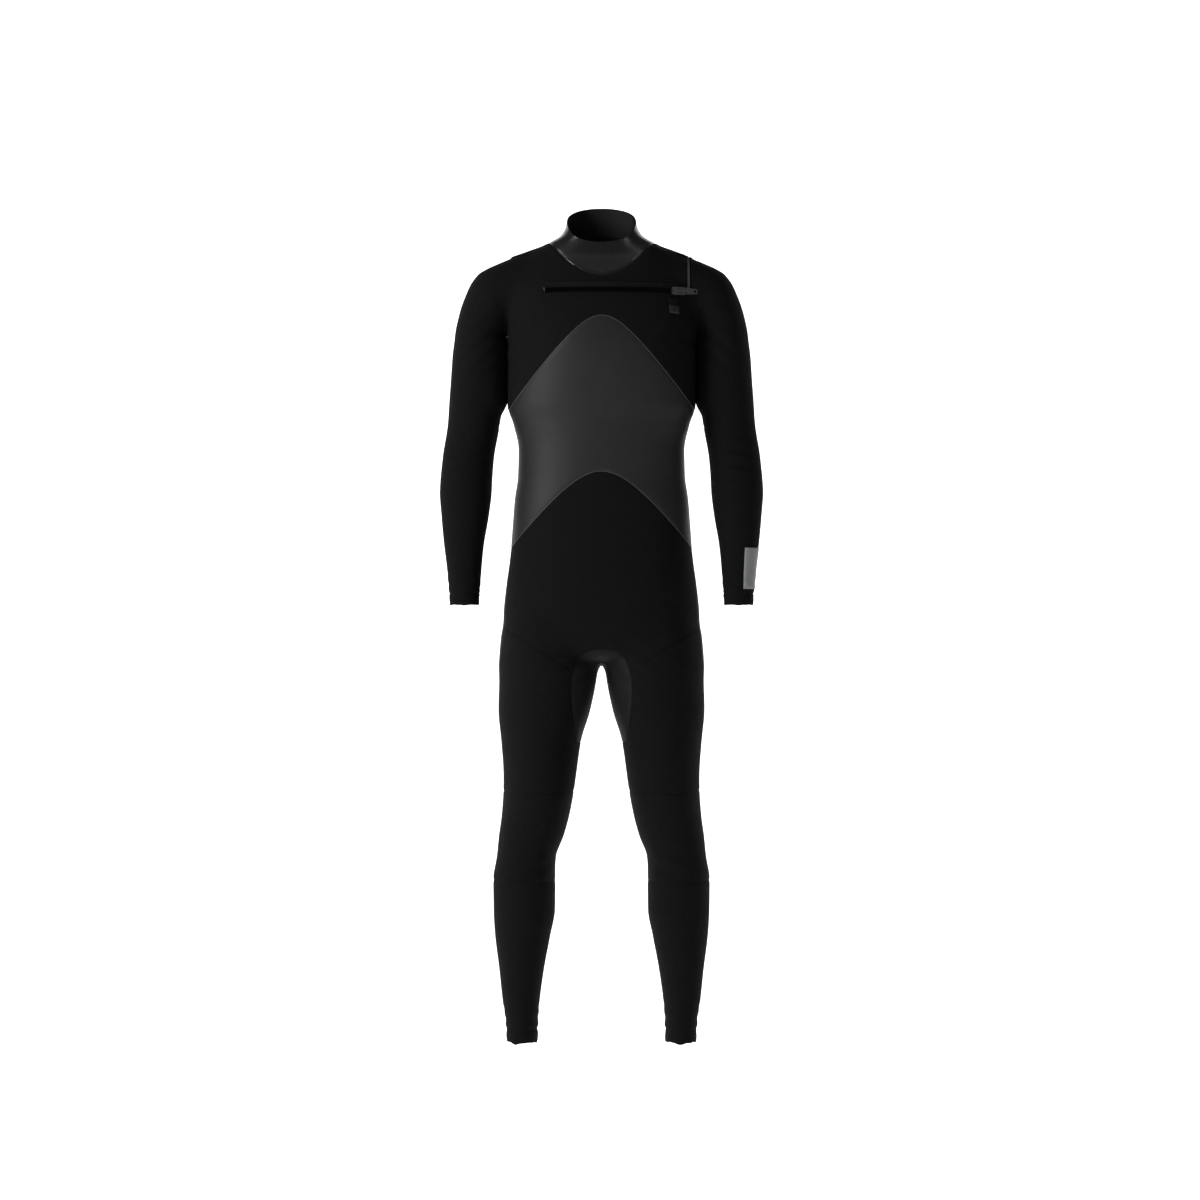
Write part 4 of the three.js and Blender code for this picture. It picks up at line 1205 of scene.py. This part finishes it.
def tape(sign):
    """One tape with a rounded cord along the edge that carries the teeth."""
    outline = [
        (TAPE_EDGE, 0.0021), (TAPE_ROOT + 0.0012, 0.0021), (TAPE_ROOT + 0.0006, 0.0014),
        (TAPE_ROOT, 0.0016), (TAPE_ROOT, 0.0024), (TAPE_ROOT + 0.0006, 0.0028),
        (TAPE_ROOT + 0.0012, 0.0027), (TAPE_EDGE, 0.0027),
    ]
    heights = np.array([h for h, _ in outline]) * sign
    depths = np.array([d for _, d in outline])
    places = np.linspace(ZIP_START, ZIP_END, 90)
    return swept([on_arc(x, depths, heights) for x in places])


def tooth(x, sign):
    """One moulded tooth, from its tip near the zip's line to its root on the tape."""
    profile = [
        (TOOTH_TIP, TOOTH_HEAD * 0.7, 0.0009), (TOOTH_TIP + 0.0005, TOOTH_HEAD, 0.0012),
        (TOOTH_SHOULDER, TOOTH_HEAD, 0.0013), (TOOTH_SHOULDER + 0.0005, TOOTH_NECK, 0.0012),
        (TOOTH_ROOT - 0.0006, TOOTH_HEAD, 0.0013), (TOOTH_ROOT, TOOTH_HEAD * 0.8, 0.0011),
    ]
    sections = []
    for height, half, reach in profile:
        corners = [(-1, -0.6), (-0.6, -1), (0.6, -1), (1, -0.6), (1, 0.6), (0.6, 1), (-0.6, 1), (-1, 0.6)]
        across_x = np.array([x + half * u for u, _ in corners])
        depth = np.array([0.0020 + reach * v for _, v in corners])
        sections.append(on_arc(across_x, depth, sign * height))
    return swept(sections)


for row, sign, shift in (("upper", 1, 0.0), ("lower", -1, 0.5)):
    tooth_places = np.arange(ZIP_START + 0.002, ZIP_END - 0.0045, TOOTH_PITCH) + shift * TOOTH_PITCH
    made_tape = trim_piece(row + "_zip_tape", [tape(sign)], zip_cloth)
    made_teeth = trim_piece(
        row + "_zip_teeth", [tooth(x, sign) for x in tooth_places], tooth_plastic, 35
    )
    for made, node in ((made_tape, row + "_zip_tape"), (made_teeth, row + "_zip_teeth")):
        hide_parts(node)
        if row == "upper":
            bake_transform(made)
        else:
            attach(made, "suit")
print("teeth in a row:", len(tooth_places))

# %% [markdown]
# ### Slider, puller and stops
#
# These come from the frame, because their sizes matter to the way they move. They only need small
# rounded edges, which catch a line of light, and their metal.

# %% Finish the frame's metal pieces
METAL = {
    "zip_slider": (slider_metal, 0.0005, "slider_metal"),
    "zip_puller": (puller_metal, 0.0004, "puller_metal"),
    "upper_top_stop": (stop_metal, 0.0004, "slider_metal"),
    "lower_top_stop": (stop_metal, 0.0004, "slider_metal"),
    "zip_bottom_stop": (stop_metal, 0.0004, "slider_metal"),
}
for node, (material, radius, slot) in METAL.items():
    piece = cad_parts[node]
    piece.data.materials.clear()
    piece.data.materials.append(material)
    rounding = piece.modifiers.new("rounded edges", "BEVEL")
    rounding.width = radius
    rounding.segments = 2
    rounding.limit_method = "ANGLE"
    rounding.angle_limit = math.radians(35)
    rounding.harden_normals = False

# %% [markdown]
# ### Entry bib
#
# Behind the closed zip stands a low bib of thin smooth rubber, which keeps the water out. It is glued
# below the zip and free along its top, which waves a little.


# %% Bib behind the zip
def bib():
    places = np.linspace(-0.064, 0.140, 70)
    sections = []
    for x in places:
        heights = np.linspace(-0.030, -0.0016, 9)
        wave = 0.0006 * np.sin(x * 90) * ramp(heights, -0.02, -0.002)
        front = on_arc(x, 0.0069 + wave, heights)
        back = on_arc(x, 0.0083 + wave, heights[::-1])
        sections.append(np.concatenate([front, back]))
    return swept(sections)


entry_bib = trim_piece("entry_bib", [bib()], smooth_skin, 60)
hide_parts("entry_bib")
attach(entry_bib, "suit")

# %% [markdown]
# ### Stitches, beads and the hanging tab
#
# Lips, hems and the flap's edge are topstitched; here the stitches are laid along the two lips of the zip.
# A stitch is a short rounded length of thread that dips into the cloth at both ends, so a row of them is
# made as small spindles laid on the skin. The smooth panel's peaked seams are sealed with a thin bead of
# flexible glue, whose grey, lighter than the panel, is a painted highlight along the seam's edge and shows
# as a fine lighter line.


# %% Threads and beads on the skin
def tube(line, radii, around=6):
    """A round tube along a line of points, with a radius at each point."""
    line = np.asarray(line, float)
    ahead = np.gradient(line, axis=0)
    ahead /= np.maximum(np.linalg.norm(ahead, axis=1), 1e-12)[:, None]
    side = np.cross(ahead, [0.31, 0.17, 0.93])
    side /= np.maximum(np.linalg.norm(side, axis=1), 1e-12)[:, None]
    up = np.cross(side, ahead)
    turn = np.arange(around) * 2 * math.pi / around
    circle = np.cos(turn)[:, None], np.sin(turn)[:, None]
    sections = [
        p + r * (circle[0] * s + circle[1] * u) for p, s, u, r in zip(line, side, up, radii)
    ]
    return swept(sections)


def skin_line(skin, guess, lift):
    """A line of points laid on the skin, lifted off it, with the skin's outward direction."""
    settled = skin.settle(np.asarray(guess, float), rounds=6)
    outward = skin.slope(settled)
    outward /= np.linalg.norm(outward, axis=1)[:, None]
    return settled + outward * (lift + folds(settled))[:, None]


def stitches(line, length=0.0030, gap=0.0011, radius=0.00028):
    """Spindles of thread along a line of points."""
    steps = np.linalg.norm(np.diff(line, axis=0), axis=1)
    along = np.concatenate([[0], np.cumsum(steps)])
    parts = []
    for start in np.arange(0, along[-1] - length, length + gap):
        at = np.linspace(start, start + length, 5)
        run = np.stack([np.interp(at, along, line[:, k]) for k in range(3)], 1)
        parts.append(tube(run, radius * np.array([0.35, 0.9, 1, 0.9, 0.35]), 5))
    return parts


def arc_guess(low_x, high_x, height):
    places = np.linspace(low_x, high_x, 160)
    return on_arc(places, 0.0, height)


STITCH_OFF_ZIP = 0.0095
for row, sign in (("upper", 1), ("lower", -1)):
    line = skin_line(trunk_skin, arc_guess(-0.101, 0.150, sign * STITCH_OFF_ZIP), -0.0002)
    sewn = trim_piece(row + "_zip_stitching", stitches(line), thread, 80)
    if row == "upper":
        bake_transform(sewn)
    else:
        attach(sewn, "suit")


def round_front(height_of, turns):
    """Points round the front of the trunk, where its surface meets a seam's height."""
    points = []
    for turn in turns:
        reach = 0.12
        for _ in range(40):
            x, y = reach * math.sin(turn), -reach * math.cos(turn)
            p = np.array([[x, y, height_of(x)]])
            reach -= 0.7 * float(trunk_skin.distance(p)[0])
        points.append(p[0])
    return np.array(points)


BEAD_RADIUS = 0.0008
BEAD_TURNS = np.radians(np.linspace(-93, 93, 120))
# Each bead is laid in the lighter grey of a painted highlight.
for name, seam in (("upper_peak_bead", UPPER_PEAK), ("lower_peak_bead", LOWER_PEAK)):
    guess = round_front(lambda x, seam=seam: peak(x, *seam), BEAD_TURNS)
    line = skin_line(trunk_skin, guess, -BEAD_RADIUS)
    bead = trim_piece(name, [tube(line, np.full(len(line), BEAD_RADIUS), 8)], painted_highlight_bead, 80)
    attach(bead, "suit")


# %% [markdown]
# ### Tab and forearm patch
#
# A short loop of webbing hangs below the closed end of the zip, with a moulded rubber end that keeps the
# puller from swinging. On the left forearm a thin grey patch is bonded to the jersey. It carries no mark.


# %% Thin pieces that lie on the skin
def laid_patch(name, skin, guess, lift, thickness, material, body, rounding=0.35):
    """A thin slab laid on the skin over a grid of guessed points."""
    rows, columns = guess.shape[:2]
    low = skin_line(skin, guess.reshape(-1, 3), lift)
    high = skin_line(skin, guess.reshape(-1, 3), lift + thickness)
    edge = np.ones((rows, columns))
    edge[0] = edge[-1] = 0
    edge[:, 0] = edge[:, -1] = 0
    share = (rounding + (1 - rounding) * edge).reshape(-1, 1)
    high = low + (high - low) * share
    count = rows * columns
    number = np.arange(count).reshape(rows, columns)
    faces = []
    for i in range(rows - 1):
        for j in range(columns - 1):
            ring = [number[i, j], number[i, j + 1], number[i + 1, j + 1], number[i + 1, j]]
            faces += [[int(n) for n in ring], [int(n) + count for n in ring[::-1]]]
    border = [*number[0, :], *number[1:, -1], *number[-1, -2::-1], *number[-2:0:-1, 0]]
    for a, b in zip(border, border[1:] + border[:1]):
        faces.append([int(b), int(a), int(a) + count, int(b) + count])
    made = trim_piece(name, [(np.concatenate([low, high]), faces)], material, 50)
    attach(made, body)
    return made


def chest_grid(x0, x1, z0, z1, columns, rows):
    x, z = np.meshgrid(np.linspace(x0, x1, columns), np.linspace(z0, z1, rows))
    return on_arc(x, 0.0, z - ZIP_HEIGHT)


TAB_RIGHT, TAB_LEFT = 0.1135, 0.1315
TAB_PARTS = (  # name, grid of heights, thickness, material, slot
    ("tab_webbing", (0.6291, 0.6428, 8, 8), 0.0016, zip_cloth, "zip_tape"),
    ("tab_rubber_end", (0.6148, 0.6288, 10, 8), 0.0022, moulded_rubber, "moulded_rubber"),
)
for name, heights, thickness, material, slot in TAB_PARTS:
    guess = chest_grid(TAB_RIGHT, TAB_LEFT, *heights)
    made = laid_patch(name, trunk_skin, guess, 0.0012, thickness, material, "suit")
    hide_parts(name)


def forearm_grid(turn0, turn1, z0, z1, columns, rows):
    turn, z = np.meshgrid(np.linspace(turn0, turn1, columns), np.linspace(z0, z1, rows))
    middle, half_width, depth, half_depth = arm_limb.outline(z)
    return np.stack([middle + half_width * np.cos(turn), depth + half_depth * np.sin(turn), z], -1)


patch = laid_patch(
    "forearm_label", arm_skin, forearm_grid(-0.42 * math.pi, -0.06 * math.pi, 0.132, 0.205, 24, 34),
    0.0005, 0.0009, patch_rubber, "left_forearm",
)
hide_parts("forearm_label")

# %% [markdown]
# ## The studio
#
# The suit stands on nothing, as on a wearer who isn't there, over a pale floor that runs up into a pale
# wall. One large soft light stands on the left. The light on the right, the one above and the two strips
# behind are weak and only keep the outline clear, and two small lamps give the collar its gleam. The
# camera is level and far away, as for a catalogue picture.

# %% Floor, lights and camera
studio = Finish("pale studio paper")
studio.colour(grey(0.86, 1.0), grey(0.88, 1.0), studio.noise(2))
studio.shader.inputs["Roughness"].default_value = 0.9
studio.shader.inputs["Emission Color"].default_value = (1, 1, 1, 1)
studio.shader.inputs["Emission Strength"].default_value = 1.0
FLOOR = -0.83
WALL_AWAY = 7.0
CURVE = 1.2
sweep_profile = [(-6.0, FLOOR)]
for step in range(13):
    turn = step / 12 * math.pi / 2
    run = WALL_AWAY - CURVE + CURVE * math.sin(turn)
    sweep_profile.append((run, FLOOR + CURVE - CURVE * math.cos(turn)))
sweep_profile.append((WALL_AWAY, 6.0))
paper_points = np.array([(x, y, z) for y, z in sweep_profile for x in (-9.0, 9.0)])
paper_faces = [[2 * i, 2 * i + 1, 2 * i + 3, 2 * i + 2] for i in range(len(sweep_profile) - 1)]
paper = new_mesh("studio_paper", paper_points, paper_faces, [studio.material], np.zeros(len(paper_faces)))


def soft_light(name, place, aim, width, height, power):
    lamp = bpy.data.lights.new(name, "AREA")
    lamp.shape = "RECTANGLE"
    lamp.size, lamp.size_y, lamp.energy = width, height, power
    holder = bpy.data.objects.new(name, lamp)
    holder.location = place
    direction = np.array(aim) - np.array(place)
    holder.rotation_mode = "QUATERNION"
    holder.rotation_quaternion = Vector(direction).to_track_quat("-Z", "Y")
    bpy.context.scene.collection.objects.link(holder)
    return holder


soft_light("key_light", (-3.3, -2.3, 1.3), (0, 0, 0.25), 1.3, 2.2, 200)
soft_light("fill_light", (2.8, -3.0, 0.9), (0, 0, 0.1), 1.6, 2.4, 4)
soft_light("top_light", (0, -0.6, 3.2), (0, 0, 0.3), 2.4, 2.0, 8)
soft_light("left_gleam", (-2.0, -1.1, 2.9), (0, 0, 0.72), 0.45, 0.45, 16)
soft_light("right_gleam", (1.5, -1.6, 3.1), (0, 0, 0.72), 0.4, 0.4, 4)
soft_light("left_strip", (-2.4, 1.3, 0.6), (0, 0, 0.1), 0.5, 2.6, 6)
soft_light("right_strip", (2.4, 1.3, 0.6), (0, 0, 0.1), 0.5, 2.6, 6)

world = bpy.data.worlds.new("studio_air")
world.use_nodes = True
world.node_tree.nodes["Background"].inputs["Color"].default_value = (1, 1, 1, 1)
world.node_tree.nodes["Background"].inputs["Strength"].default_value = 0.10
bpy.context.scene.world = world
bpy.context.scene.view_settings.view_transform = "Standard"

lens = bpy.data.cameras.new("catalogue_camera")
lens.lens, lens.sensor_width = 84, 36
camera = bpy.data.objects.new("catalogue_camera", lens)
camera.location = (-0.0027, -5.0, 0.1125)
camera.rotation_euler = (math.pi / 2, 0, 0)
bpy.context.scene.collection.objects.link(camera)
bpy.context.scene.camera = camera

# %% [markdown]
# ## Finish

# %% Update the scene and finish
bpy.context.view_layer.update()
